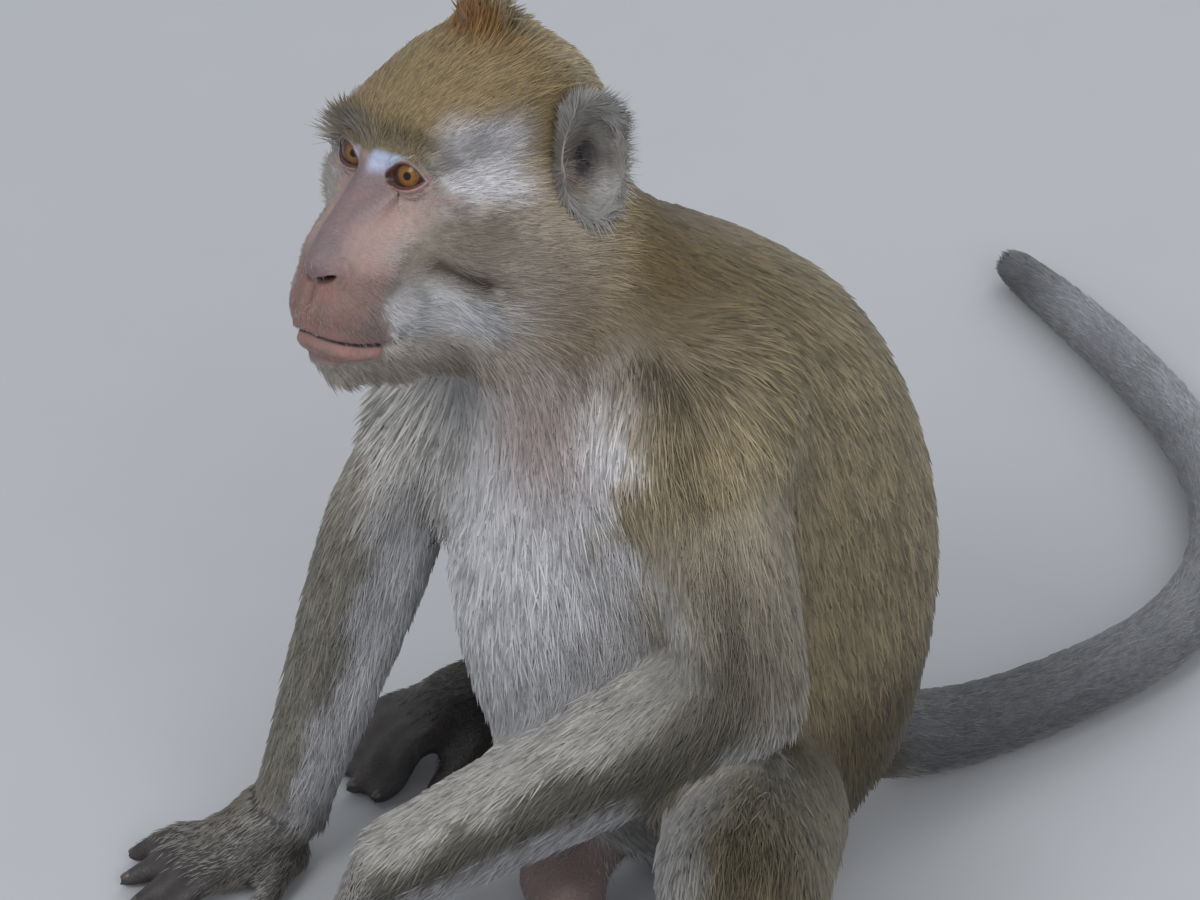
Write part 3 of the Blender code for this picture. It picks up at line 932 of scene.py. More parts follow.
    def sculpt(self, q: Array, normals: Array) -> Array:
        """The face's points moved by the relief, the nose, the nostrils and the lids.

        Args:
            q: head points.
            normals: the way the surface faces at each.

        Returns:
            The points moved.
        """
        folded = mirrored(q)
        tip = np.linalg.norm((folded - np.array(self.tip)) / self.tip_size, axis=1)
        wing = distance(folded, self.wing)
        groove = along_path(folded, WING_GROOVE)[0]
        lift = self.relief(q) + 0.15 * bell(tip, 1.0) + 0.08 * bell(wing, 0.27) - 0.07 * bell(groove, 0.14)
        result = q + normals * lift[:, None]
        depth, inward = self.nostrils(q)
        result += inward * (self.nostril_depth * np.minimum(depth * 1.25, 1.0) ** 1.4)[:, None]
        return self.lids(result)

    def colours(self, q: Array) -> Array:
        """The colours of the bare face.

        Pink, with a rosy muzzle, a mauve nose, lips, a dark line of painted shade between them and painted
        shade in the nostrils, grey under the chin, pale blue lids and dark red margins, and a fine blotching
        over all.

        Args:
            q: head points, before the face was sculpted.

        Returns:
            One colour a row.
        """
        x, y, z = q.T
        side = np.abs(x)
        below = self.above_mouth(q)
        nose = bell(side, 0.8) * ramp(-z, -1.0, 0.6) * ramp(z, -3.6, -3.15) * ramp(0.8 - y, 0, 0.8)
        lip = ramp(self.mouth_corner - np.abs(self.bearings(q)), -2, 8) * ramp(1.0 - y, 0, 0.5)
        lid = ramp(z, -0.35, 0.2) * ramp(1.75 - side, 0, 0.6) * ramp(0.5 - y, 0, 0.5)
        lid = lid * np.where(x > 0, ramp(x, -0.1, 0.3), 0.45 * ramp(side, 0.3, 0.7))
        tint = layered(
            tiled(PINK, q),
            (ROSE, 0.95 * ramp(-z, 2.2, 3.6) * ramp(1.3 - y, 0, 1.0)),
            (MAUVE, np.clip(1.3 * nose, 0, 0.95)),
            (LIP, lip * ramp(-below, 0.0, 0.12) * (1 - ramp(-below, 0.62, 0.95))),
            (MAUVE * 0.8, 0.7 * lip * bell(below - 0.1, 0.13)),
            # Painted shade along the seam between the lips.
            (RECESS_SHADE * 0.8, lip * ramp(bell(below, 0.095), 0.2, 0.7)),
            # Painted shade inside the nostrils.
            (RECESS_SHADE * 0.45, ramp(self.nostrils(q)[0], 0.12, 0.5)),
            (GREY * 0.62, 0.8 * ramp(-below, 0.9, 1.4)),
            (LID_BLUE, 0.95 * lid),
        )
        for plan in EYES.values():
            yaw, pitch = plan.angles(q)
            away, inside = plan.seen(q)
            near = (away < 1.9) * ramp(x * plan.side.value, 0.5, 0.68)
            dark = ramp(pitch - plan.base(yaw), 0, 8)
            under = ramp(inside, -24, -6) * ramp(-pitch, 2, 10) * ramp(yaw, -34, -16)
            margin = blend(tiled(LID_RED, q), BISTRE, 0.7 * dark)
            tint = layered(
                tint,
                (PINK * (1.12, 0.88, 0.88), 0.8 * near * under),
                (margin, 0.9 * near * ramp(inside, -3.5 - 4 * dark, -0.5)),
                (LID_RED * 0.5, near * ramp(inside, 0.0, 3.0)),
            )
        blotch = ripple(q, 0.5, 5)
        flush = ripple(q, 0.16, 6)
        return tint * (1 + 0.2 * blotch + 0.14 * flush)[:, None] + np.outer(blotch, (0.03, -0.01, -0.01))


FACE = Face()


@dataclass
class Growth:
    """What the coat needs to know at a set of places: arrays with one row for each."""

    points: Array
    normals: Array
    head: Array
    plain: Array
    shares: Array
    bare: Array
    way: Array
    length: Array
    width: Array
    lift: Array
    density: Array

    def share(self, *starts: str) -> Array:
        """How much each place belongs to the parts whose names start in one of these ways."""
        return share_of(self.shares, *starts)

    def changed(self, change: Callable[[Array], Array]) -> "Growth":
        """The facts with every array changed alike."""
        return Growth(*(change(getattr(self, fact.name)) for fact in fields(self)))

    def at(self, corners: Array, mix: Array) -> "Growth":
        """The same facts at places inside triangles, mixed from their corners.

        Args:
            corners: rows of three vertices.
            mix: the weights of the three corners.

        Returns:
            The facts there.
        """
        found = self.changed(lambda rows: np.einsum("nc,nc...->n...", mix, rows[corners]))
        found.normals = unit(found.normals)
        found.way = flattened(found.way, found.normals)
        return found


@dataclass
class HeadCoat:
    """How the hair of the head grows, as functions of place in the head's frame."""

    parting: Place = (0.0, -3.5, -1.8)
    crest: Place = (0.45, 3.9, 4.0)
    crest_tip: Place = (0.55, 4.0, 6.0)

    def crestness(self, q: Array) -> Array:
        """How much a place belongs to the upright crest."""
        offset = (q - np.array(self.crest)) / np.array((1.25, 1.25, 1.8))
        return bell(np.linalg.norm(offset, axis=1), 0.85) * ramp(q[:, 2], 2.6, 3.5)

    def whisker(self, q: Array) -> Array:
        """How much a place belongs to the long pale hair of the cheek."""
        offset = ((np.abs(q[:, 0]) - 2.4) / 1.2, (q[:, 1] - 0.45) / 1.9, (q[:, 2] + 4.7) / 0.85)
        return bell(np.sqrt(sum(part**2 for part in offset)), 1.25)

    def brow(self, q: Array) -> Array:
        """How much a place belongs to the wisps over the eyes.

        Args:
            q: head points.

        Returns:
            From 0 to 1 a row.
        """
        high = np.interp(np.abs(q[:, 0]), (0, 0.5, 1.15, 1.65, 2.3, 2.8), (0.65, 0.7, 0.7, 0.5, 0.15, -0.4))
        front = ramp(1.6 - q[:, 1], 0, 0.8)
        return bell(q[:, 2] - high - 0.25, 0.42) * front * ramp(3.1 - np.abs(q[:, 0]), 0, 0.6)

    def far_cheek(self, q: Array) -> Array:
        """How much a place belongs to the thinly haired edge of the right cheek below the eye."""
        front = ramp(-q[:, 0], 1.2, 2.2) * ramp(2.4 - q[:, 1], 0, 1.4)
        return front * ramp(-q[:, 2], -0.6, 0.2) * ramp(q[:, 2], -4.2, -3.4)

    def way(self, q: Array) -> Array:
        """Away from a point before the nose, level along the cheek and upright at the crest.

        Args:
            q: head points.

        Returns:
            One way a row.
        """
        away = unit(q - np.array(self.parting))
        sign = np.sign(q[:, 0])
        cheek = np.stack([0.35 * sign, np.full(len(q), 0.9), np.full(len(q), 0.12)], axis=1)
        away = unit(blend(away, cheek, 0.75 * ramp(-q[:, 2], 1.2, 2.8) * ramp(q[:, 1], -1.6, 0.2)))
        away = unit(blend(away, np.array((0.0, 0.72, -0.7)), ramp(-q[:, 2], 5.4, 6.6)))
        away = unit(blend(away, np.array((0.0, 0.75, -0.66)), 0.8 * ramp(q[:, 1], 5.0, 8.5)))
        rise = unit(np.array(self.crest_tip) - q)
        return unit(blend(away, rise, self.crestness(q)))

    def length(self, q: Array) -> Array:
        """The hair's length: short on brow and nose, long at the cheek, chin and nape.

        Args:
            q: head points.

        Returns:
            Centimetres.
        """
        x, y, z = q.T
        base = np.interp(y, (-2.5, -1.0, 0.8, 2.5, 5.0, 8.0), (0.3, 0.4, 0.6, 1.0, 1.25, 1.6))
        base = base + 0.45 * self.whisker(q) + 0.35 * ramp(-z, 5.8, 7.2)
        base = base + self.brow(q) * (0.25 + 0.55 * ramp(-x, -0.4, 1.2))
        base = base - 0.1 * self.far_cheek(q) + 0.25 * ramp(-z, 6.0, 7.0) * ramp(0.5 - y, 0, 1)
        return base + 0.35 * self.crestness(q) + 0.25 * ramp(-z, 6.0, 6.8) * ramp(1.0 - y, 0, 1.5)

    def lift(self, q: Array) -> Array:
        """Degrees off the skin.

        Args:
            q: head points.

        Returns:
            Degrees.
        """
        brow = self.brow(q) * (12 + 22 * ramp(-q[:, 0], -0.3, 0.9))
        chin = 8 * ramp(-q[:, 2], 5.5, 6.5)
        return 11 + 58 * self.crestness(q) + 5 * self.whisker(q) + brow + chin + 22 * self.far_cheek(q)

    def depth(self, q: Array) -> Array:
        """How deep the skin lies under the coat."""
        return 0.34 + 0.12 * ramp(q[:, 1], 3, 7) + 0.3 * self.crestness(q) - 0.1 * ramp(-q[:, 1], -1.0, 0.5)


@dataclass
class Patch:
    """The colours of one part: its outer side and its pale side, and which way the pale side faces."""

    outer: Array
    pale: Array
    way: Place
    low: float = 0.3
    high: float = 0.75


def patches() -> dict[str, Patch]:
    """The colours of each part of the body, by the name of its solid.

    Returns:
        Each part's colours by name.
    """
    table = {
        "head": Patch(GOLDEN, GREY, (0, -0.3, -1), 0.2, 0.8),
        "neck": Patch(OLIVE * (0.92, 0.92, 1.05), PALE * 1.2, (-0.35, -0.95, -0.25), 0.25, 0.8),
        "chest": Patch(OLIVE, WHITE * 1.06, (0, -1, 0), -0.15, 0.25),
        "belly": Patch(OLIVE * 0.9, WHITE * 0.74, (0, -1, 0), -0.15, 0.25),
        "pelvis": Patch(OLIVE * 0.55, PALE * 0.8, (0.1, -1, -0.2), 0.15, 0.6),
        "scrotum": Patch(PALE, PALE, (0, -1, 0)),
        "upper_arm_left": Patch(OLIVE * (1.14, 1.22, 1.5), PALE, (-0.75, -0.65, -0.1), 0.4, 0.95),
        # Partly the forearm's own pale and olive fur, partly painted shade: pale where the left forearm
        # faces up and in, dimmed olive on its lower side.
        "forearm_left": Patch(
            OLIVE * (0.62, 0.7, 0.92), CREAM * (0.86, 0.87, 0.88), (-0.68, -0.15, 0.71), -0.02, 0.34,
        ),
        "hand_left": Patch(GREY * 0.75, GREY, (0, 0, 1), 0.0, 0.8),
        "upper_arm_right": Patch(OLIVE * (0.95, 1.0, 1.3), WHITE * 0.74, (0.8, 0.5, 0.1), -0.3, 0.3),
        "forearm_right": Patch(OLIVE * (0.74, 0.83, 1.07), WHITE * 0.88, (0.9, 0.35, 0.1), 0.15, 0.65),
        "hand_right": Patch(BROWN * 1.1, GREY * 0.62, (0.7, 0, 0.7), 0.0, 0.8),
        "thigh_left": Patch(OLIVE * (0.58, 0.6, 0.6), PALE * 0.58, (-0.9, -0.4, 0.1), 0.15, 0.7),
        "thigh_right": Patch(OLIVE * 0.72, PALE * 0.7, (0.85, -0.3, -0.2), 0.1, 0.7),
        "shin_left": Patch(OLIVE * 0.6, PALE * 0.75, (-0.9, -0.4, 0.1), 0.05, 0.6),
        "shin_right": Patch(OLIVE * 0.6, GREY * 0.7, (0.85, 0.2, 0.0), 0.1, 0.7),
        "foot_left": Patch(BROWN * 0.7, GREY * 0.42, (0, 0, 1), 0.2, 0.8),
        "foot_right": Patch(BROWN * 0.5, GREY * 0.3, (0, 0, 1), 0.2, 0.8),
    }
    for number, light in enumerate((0.6, 1.15, 1.6, 1.55), 1):
        table[f"tail_{number}"] = Patch(SLATE * light, GREY * 0.7, (0, 0, -1), 0.3, 0.8)
    return table


BIBS = (((-4.5, -10.0, 22.6), 3.2), ((-3.2, -11.2, 26.4), 2.6), ((6.6, -9.0, 19.6), 1.6))


@dataclass
class MarkingsAndPaintedLight:
    """The colours of coat and skin alike, from place, the way the surface faces and the part it is on, with
    painted light and painted shade among them.
    """

    def body(self, growth: Growth) -> Array:
        """Each part's outer or pale colour, mixed by how much of each part a place belongs to.

        Args:
            growth: the facts at each place.

        Returns:
            One colour a row.
        """
        points, normals = growth.points, growth.normals
        wobble = 0.5 * ripple(points, 1.6, 11) + 0.25 * ripple(points, 0.5, 12)
        total = np.zeros_like(points)
        for name, patch in patches().items():
            share = growth.share(name)
            used = share > 0.004
            if not used.any():
                continue
            facing = normals[used] @ unit(np.array(patch.way)) + wobble[used]
            if name in FRONTED:
                x, y, _ = points[used].T
                facing = 0.25 * np.minimum(5.3 - np.abs(x), -6.4 - y) + wobble[used]
            colour = blend(patch.outer, patch.pale, ramp(facing, patch.low, patch.high))
            total[used] += share[used, None] * colour
        streak = ripple(points * (1, 1, 0.45), 0.6, 13)
        broad = ripple(points, 3.5, 14)
        total *= (1 + 0.28 * streak + 0.16 * broad)[:, None]
        x, y, z = points.T
        # Painted light: the coat made up to 1.8 times brighter on the left shoulder, to lift a patch that
        # lies in shade.
        total = total * (1 + 0.8 * near_to(points, (7.8, -6.9, 26.0), 2.7))[:, None]
        # Painted shade: the coat darkened by up to a third in the fold of the left elbow.
        total = total * (1 - 0.32 * near_to(points, (8.6, -6.6, 17.8), 3.4))[:, None]
        total = blend(total, CHEST_PINK, 0.9 * near_to(points, (2.2, -10.3, 25.7), 2.5))
        front = ramp(-normals[:, 1] + wobble, 0.05, 0.45)
        for place, reach in BIBS:
            bib = near_to(points, place, reach)
            total = blend(total, PALE * 0.95, np.clip(1.5 * bib, 0, 1) * front)
        saddle = bell(np.hypot(x - 2.8, z - 31.5), 4.2) * ramp(y, -8.5, -6.0)
        total = blend(total, GOLDEN * (0.36, 0.33, 0.22), 0.95 * saddle)
        total = total * (1 - 0.5 * (growth.share("tail_4") * ramp(-x, 21.0, 25.0)))[:, None]
        # Painted shade: the coat of the lower back and rump turned dark golden brown towards the floor.
        low = ramp(14.2 - z, 0, 4.5) * ramp(y, -2.5, 0.8) * ramp(7.5 - y, 0, 2)
        total = blend(total, GOLDEN * (0.24, 0.25, 0.24), 0.92 * low)
        # Partly the forearm's own white inner fur, partly painted light: the left forearm's underside, which
        # faces down into shade, made white.
        inner = ramp(normals @ unit(np.array((0.68, 0.15, -0.71))), 0.4, 0.65)
        return blend(total, WHITE * 0.82, 0.9 * (growth.share("forearm_left") * inner))

    def crown(self, q: Array) -> Array:
        """The head's coat: golden above, pale at brow, temple and cheek, dark at crease and crest with
        painted shade, and brighter by the ear and at the chin with painted light.

        Args:
            q: head points.

        Returns:
            One colour a row.
        """
        x, y, z = q.T
        side = np.abs(x)
        coat = HeadCoat()
        ruffle = 0.6 * ripple(q, 0.8, 21)
        pale = ramp(side + ruffle * 0.6, 1.6, 2.7) * ramp(2.3 - z + ruffle, 0.0, 1.3)
        pale = pale * ramp(3.9 - y + ruffle, 0, 1.4) * (0.7 + 0.6 * noise(q * (1, 0.35, 1), 0.45, 24))
        # Painted light: a brighter golden band above and behind the ear, where the coat lies in shade.
        painted_light_band = bell(y - 4.3, 1.1) * ramp(side, 2.0, 3.0) * ramp(z, -1.5, 0.5) * ramp(3.2 - z, 0, 1.2)
        brow = coat.brow(q) * ramp(1.2 - side, -1.6, 0.4)
        crease = along_path(mirrored(q), CREASE_HAIR)[0]
        crest = np.clip(1.7 * coat.crestness(q), 0, 1)
        return layered(
            tiled(GOLDEN * 0.9, q),
            (WHITE * (1.04, 1.02, 1.03), np.minimum(pale, 0.95) * (1 - 0.6 * ramp(-z, 0.3, 1.6))),
            (GREY * (1.0, 0.9, 0.8), 0.85 * (ramp(-z + ruffle, 0.2, 1.6) * ramp(6.4 - y, 0, 1.5))),
            (GOLDEN * 1.15, 0.8 * painted_light_band),
            (OLIVE * 1.3, ramp(y + ruffle, 4.6, 6.2) * ramp(z, -4.5, -1.5)),
            (blend(tiled(OLIVE * 0.8, q), GREY * 0.42, ramp(-x, -0.6, 0.6)), 0.85 * brow),
            (PALE, 0.9 * coat.far_cheek(q)),
            (WHITE * 1.15, np.clip(1.45 * coat.whisker(q), 0, 0.95)),
            # Painted shade: dark olive and bistre along the cheek crease.
            (OLIVE * 0.8, 0.4 * bell(crease - 0.2, 0.35)),
            (BISTRE * 0.8, 0.95 * bell(crease, 0.3)),
            # Partly the chin's own grey hair, partly painted light: made brighter where the chin faces down
            # into shade.
            (GREY * (1.2, 1.12, 1.06), 0.9 * (ramp(-z, 5.7, 6.2) * ramp(1.4 - y, 0, 1.5))),
            (PALE, ramp(-z, 6.6, 7.6)),
            # Partly the crest's own rufous hair, partly painted shade: dark on the crest's front side.
            (RUFOUS * 0.9, crest * ramp(4.3 - y + 0.4 * ruffle, 0.0, 0.4)),
        )

    def coat(self, growth: Growth) -> Array:
        """The coat's colour, the head's own taking over where a place belongs to the head.

        Args:
            growth: the facts at each place.

        Returns:
            One colour a row.
        """
        share = growth.share("head")
        colour = self.body(growth)
        near = share > 0.01
        colour[near] = blend(colour[near], self.crown(growth.head[near]), ramp(share[near], 0.2, 0.8))
        return colour

    def skin(self, growth: Growth) -> Array:
        """The skin: the face and hands bare, the rest as the coat above it but darker, as painted shade
        under the coat.

        Args:
            growth: the facts at each place.

        Returns:
            One colour a row.
        """
        # Painted shade: the skin under the coat is the coat's colour darkened to 0.62.
        colour = self.coat(growth) * 0.62
        chest = growth.share("chest", "neck")
        colour = blend(colour, CHEST_PINK * 0.8, 0.5 * chest * ramp(-growth.normals[:, 1], 0.3, 0.8))
        worn = SOOT * (0.42 + 0.4 * noise(growth.points, 0.35, 31))[:, None]
        for name in PAWS:
            colour = blend(colour, worn, ramp(growth.share(name), 0.3, 0.8))
        colour = blend(colour, SCROTUM_PINK, ramp(growth.share("scrotum"), 0.2, 0.7))
        bare = growth.bare > 0.01
        colour[bare] = blend(colour[bare], FACE.colours(growth.plain[bare]), growth.bare[bare])
        return colour


BROAD = ("chest", "neck", "belly", "upper", "pelvis")


@dataclass
class Skin:
    """One closed skin over all the flesh, which lies inside the solids by the coat's depth."""

    voxel: float = 0.16
    swell: float = 0.025
    triangles: int = 90000

    def gather(self, nodes: dict[str, Object]) -> Object:
        """A copy of the flesh solids, their vertices merged and swollen so that neighbours overlap.

        Args:
            nodes: the solids by name.

        Returns:
            The flesh in one object, each vertex with the number of its part.
        """
        points, faces, parts = [], [], []
        count = 0
        for name in (*FLESH, "eye_left", "eye_right"):
            mesh = nodes[name].data
            corners = mesh_triangles(mesh)
            rows, place = np.unique(np.round(mesh_points(mesh), 4), axis=0, return_inverse=True)
            corners = place.reshape(-1)[corners]
            rows = rows + point_normals(rows, corners) * self.swell
            points.append(rows)
            faces.append(corners + count)
            parts.append(np.full(len(rows), FLESH.index(name if name in FLESH else "head"), float))
            count += len(rows)
        source = build_mesh("flesh", np.vstack(points), np.vstack(faces), bpy.data.materials.new("flesh"))
        layer = source.data.attributes.new("Part", "FLOAT", "POINT")
        layer.data.foreach_set("value", np.concatenate(parts).astype(np.float32))
        source.hide_render = True
        return source

    def remeshed(self, source: Object) -> Mesh:
        """The gathered flesh as one shell of small squares.

        Args:
            source: the gathered solids.

        Returns:
            The new mesh.
        """
        remesh = source.modifiers.new("One skin", "REMESH")
        remesh.mode = "VOXEL"
        remesh.voxel_size = self.voxel * METRES
        mesh = evaluated(source, "skin")
        source.modifiers.clear()
        return mesh

    def largest(self, mesh: Mesh) -> None:
        """Deletes all but the largest shell: labels spread along edges until each shell has one.

        Args:
            mesh: the mesh.
        """
        edges = mesh_edges(mesh)
        labels = np.arange(len(mesh.vertices))
        while True:
            least = np.minimum(labels[edges[:, 0]], labels[edges[:, 1]])
            spread = labels.copy()
            np.minimum.at(spread, edges[:, 0], least)
            np.minimum.at(spread, edges[:, 1], least)
            spread = spread[spread]
            if np.array_equal(spread, labels):
                break
            labels = spread
        names, sizes = np.unique(labels, return_counts=True)
        if len(names) == 1:
            return
        stray = np.flatnonzero(labels != names[np.argmax(sizes)])
        with edited(mesh) as bm:
            bm.verts.ensure_lookup_table()
            bmesh.ops.delete(bm, geom=[bm.verts[i] for i in stray], context="VERTS")

    def labelled(self, mesh: Mesh, source: Object) -> Array:
        """The part whose solid is nearest to each vertex, by number.

        Args:
            mesh: the mesh.
            source: the gathered solids.

        Returns:
            One number a vertex.
        """
        group = bpy.data.node_groups.new("Nearest part", "GeometryNodeTree")
        group.interface.new_socket("Geometry", in_out="INPUT", socket_type="NodeSocketGeometry")
        group.interface.new_socket("Geometry", in_out="OUTPUT", socket_type="NodeSocketGeometry")
        into, out = group.nodes.new("NodeGroupInput"), group.nodes.new("NodeGroupOutput")
        solids = group.nodes.new("GeometryNodeObjectInfo")
        solids.inputs["Object"].default_value = source
        part = group.nodes.new("GeometryNodeInputNamedAttribute")
        part.inputs["Name"].default_value = "Part"
        nearest = group.nodes.new("GeometryNodeSampleNearestSurface")
        store = group.nodes.new("GeometryNodeStoreNamedAttribute")
        store.inputs["Name"].default_value = "Part"
        group.links.new(solids.outputs["Geometry"], nearest.inputs["Mesh"])
        group.links.new(part.outputs["Attribute"], nearest.inputs["Value"])
        group.links.new(into.outputs[0], store.inputs["Geometry"])
        group.links.new(nearest.outputs["Value"], store.inputs["Value"])
        group.links.new(store.outputs["Geometry"], out.inputs[0])
        thing = linked("labelled", mesh)
        thing.modifiers.new("Nearest part", "NODES").node_group = group
        found = evaluated(thing, "labels")
        values = read_rows(found.attributes["Part"].data, "value", 1, np.float32).ravel()
        bpy.data.objects.remove(thing)
        bpy.data.meshes.remove(found)
        bpy.data.node_groups.remove(group)
        return np.rint(values).astype(int)

    def thinned(self, mesh: Mesh, keep: Array) -> Mesh:
        """Fewer triangles, mostly where keep is low.

        Args:
            mesh: the mesh.
            keep: from 0 to 1 for each vertex.

        Returns:
            The new mesh.
        """
        thing = linked("thinned", mesh)
        group = thing.vertex_groups.new(name="Keep")
        for level in np.unique(keep):
            group.add(np.flatnonzero(keep == level).tolist(), float(level), "REPLACE")
        thin = thing.modifiers.new("Fewer faces", "DECIMATE")
        thin.ratio = self.triangles / (2 * len(mesh.polygons))
        thin.use_collapse_triangulate = True
        thin.vertex_group = "Keep"
        thin.invert_vertex_group = True
        thin.vertex_group_factor = 8.0
        result = evaluated(thing, "skin")
        bpy.data.objects.remove(thing)
        return result

    def divided(self, mesh: Mesh, chosen: Array) -> None:
        """Halves every edge whose two ends are chosen, and the faces with them.

        Args:
            mesh: the mesh.
            chosen: whether each vertex is chosen.
        """
        halved = np.flatnonzero(chosen[mesh_edges(mesh)].all(axis=1))
        with edited(mesh) as bm:
            bm.edges.ensure_lookup_table()
            edges = [bm.edges[i] for i in halved]
            bmesh.ops.subdivide_edges(bm, edges=edges, cuts=1, use_grid_fill=True)
            bmesh.ops.triangulate(bm, faces=bm.faces[:])

    def shape(self, nodes: dict[str, Object]) -> tuple[Mesh, Growth]:
        """Makes the skin's mesh.

        Args:
            nodes: the solids by name.

        Returns:
            The mesh, and what the coat needs to know at its vertices.
        """
        source = self.gather(nodes)
        mesh = self.remeshed(source)
        self.largest(mesh)
        labels = self.labelled(mesh, source)
        edges = mesh_edges(mesh)
        points = mesh_points(mesh)
        q = HEAD.inward(points)
        fine = np.isin(labels, numbers("hand", "foot"))
        facial = (labels == 0) & (q[:, 1] < 2.2) & (q[:, 2] < 1.8) & (q[:, 2] > -7.3)
        weights = np.where(fine, 0.25, np.where(facial, 0.5, 0.8))
        slim = np.isin(labels, numbers("forearm", "shin", "tail", "scrotum"))
        weights = relaxed(np.where(slim, 0.5, weights), edges, 0.5, 8)
        points = relaxed(points, edges, weights * 0.6, 26)
        broad = np.isin(labels, numbers(*BROAD))
        broad = relaxed(broad, edges, 0.5, 12)
        points = relaxed(points, edges, 0.6 * broad, 50)
        set_points(mesh, points)
        mesh = self.thinned(mesh, np.where(fine | facial, 1.0, 0.0))
        LOG.info("skin thinned to %d triangles", len(mesh.polygons))
        self.refine(mesh)
        return mesh, self.finish(mesh, source)

    def refine(self, mesh: Mesh) -> None:
        """Divides the face once, and its lids, nose and lips again.

        Args:
            mesh: the mesh.
        """
        q = HEAD.inward(mesh_points(mesh))
        self.divided(mesh, (q[:, 1] < 1.9) & (q[:, 2] < 1.5) & (q[:, 2] > -7.2))
        q = HEAD.inward(mesh_points(mesh))
        self.divided(mesh, self.detailed(q))
        q = HEAD.inward(mesh_points(mesh))
        near = np.zeros(len(q), dtype=bool)
        for plan in EYES.values():
            away, inside = plan.seen(q)
            near |= (away < 1.3) & (np.abs(inside - 2) < 9) & (q[:, 1] < 1.2)
        self.divided(mesh, near)

    def detailed(self, q: Array) -> Array:
        """Whether a head point is near an eye, the nose tip or the mouth's line.

        Args:
            q: head points.

        Returns:
            True or false a row.
        """
        near = np.abs(FACE.above_mouth(q)) < 0.55
        near &= (np.abs(FACE.bearings(q)) < 68) & (q[:, 1] < 0.6)
        for plan in EYES.values():
            near |= (distance(q, plan.centre()) < 1.35) & (q[:, 1] < 1.2)
        return near | (distance(q, (0, -2.6, -3.3)) < 1.15)

    def finish(self, mesh: Mesh, source: Object) -> Growth:
        """Sinks the skin under the coat, sculpts the face and works out the coat's facts.

        Args:
            mesh: the mesh.
            source: the gathered solids.

        Returns:
            The coat's facts at each vertex.
        """
        labels = self.labelled(mesh, source)
        bpy.data.objects.remove(source)
        edges = mesh_edges(mesh)
        triangles = mesh_triangles(mesh)
        points = mesh_points(mesh)
        shares = relaxed(np.eye(len(FLESH))[labels], edges, 0.6, 14)
        q = HEAD.inward(points)
        head = shares[:, 0]
        bare = FACE.bare(q) * ramp(head, 0.3, 0.7)
        normals = point_normals(points, triangles)
        soft = unit(relaxed(normals, edges, 0.7, 10))
        depth = lie_rows(shares, "depth")
        depth = depth + head * (HeadCoat().depth(q) - depth)
        depth = depth * (1 - bare) + 0.05 * bare
        depth = relaxed(depth, edges, 0.6, 10)
        sunk = points - soft * depth[:, None]
        sunk[:, 2] = np.maximum(sunk[:, 2], np.where(points[:, 2] < 0.03, points[:, 2] + 0.02, 0.02))
        paws = share_of(shares, "hand", "foot")
        points = relaxed(sunk, edges, np.where(bare > 0.5, 0.2, 0.4) * (1 - 0.9 * paws), 4)
        q = HEAD.inward(points)
        plain = q.copy()
        bare = FACE.bare(q) * ramp(head, 0.3, 0.7)
        normals = HEAD.ways_inward(point_normals(points, triangles))
        facial = (head > 0.5) & (q[:, 1] < 2.6)
        q[facial] = FACE.sculpt(q[facial], normals[facial])
        corner = distance(mirrored(plain), (0.7, -0.45, -0.75))
        q = relaxed(q, edges, 0.6 * bell(corner, 0.42) * facial, 14)
        points = HEAD.outward(q)
        set_points(mesh, points)
        normals = point_normals(points, triangles)
        return self.facts(points, normals, plain, shares, bare)

    def facts(self, points: Array, normals: Array, plain: Array, shares: Array, bare: Array) -> Growth:
        """What the coat needs to know at each vertex.

        Args:
            points: rows of X, Y and Z.
            normals: the way the surface faces at each.
            plain: head points before the face was sculpted.
            shares: how much of each part each is.
            bare: how bare each is.

        Returns:
            The facts.
        """
        q = HEAD.inward(points)
        rows = {key: lie_rows(shares, key) for key in ("length", "width", "lift", "density")}
        tail = ramp(share_of(shares, "tail"), 0.1, 0.7)
        way = blend(lie_rows(shares, "way"), along_path(points, TAIL_LINE)[1], tail)
        coat = HeadCoat()
        head = ramp(shares[:, 0], 0.15, 0.85)
        way = blend(unit(way), HEAD.ways(coat.way(q)), head)
        rows["length"] += head * (coat.length(q) - rows["length"])
        rows["lift"] += head * (coat.lift(q) - rows["lift"])
        rows["density"] += head * (300 + 260 * ramp(2.6 - q[:, 1], 0, 2) - rows["density"])
        rows["width"] += head * (0.038 - 0.014 * ramp(2.8 - q[:, 1], 0, 2) - rows["width"])
        brow, cheek = coat.brow(q), coat.far_cheek(q)
        rows["width"] *= 1 - head * (0.35 * brow + 0.5 * cheek)
        rows["density"] *= 1 - head * (0.4 * brow * ramp(-q[:, 0], -0.3, 0.9) + 0.5 * cheek)
        ruff = near_to(points, (-6.2, -9.6, 23.2), 2.6) + near_to(points, (-2.6, -11.0, 27.0), 2.4)
        rows["length"] += 0.9 * ruff
        rows["lift"] += 13 * ruff
        rows["width"] *= 1 - 0.35 * np.minimum(ruff, 1)
        return Growth(points, normals, q, plain, shares, bare, flattened(unit(way), normals), **rows)


# ---- the coat


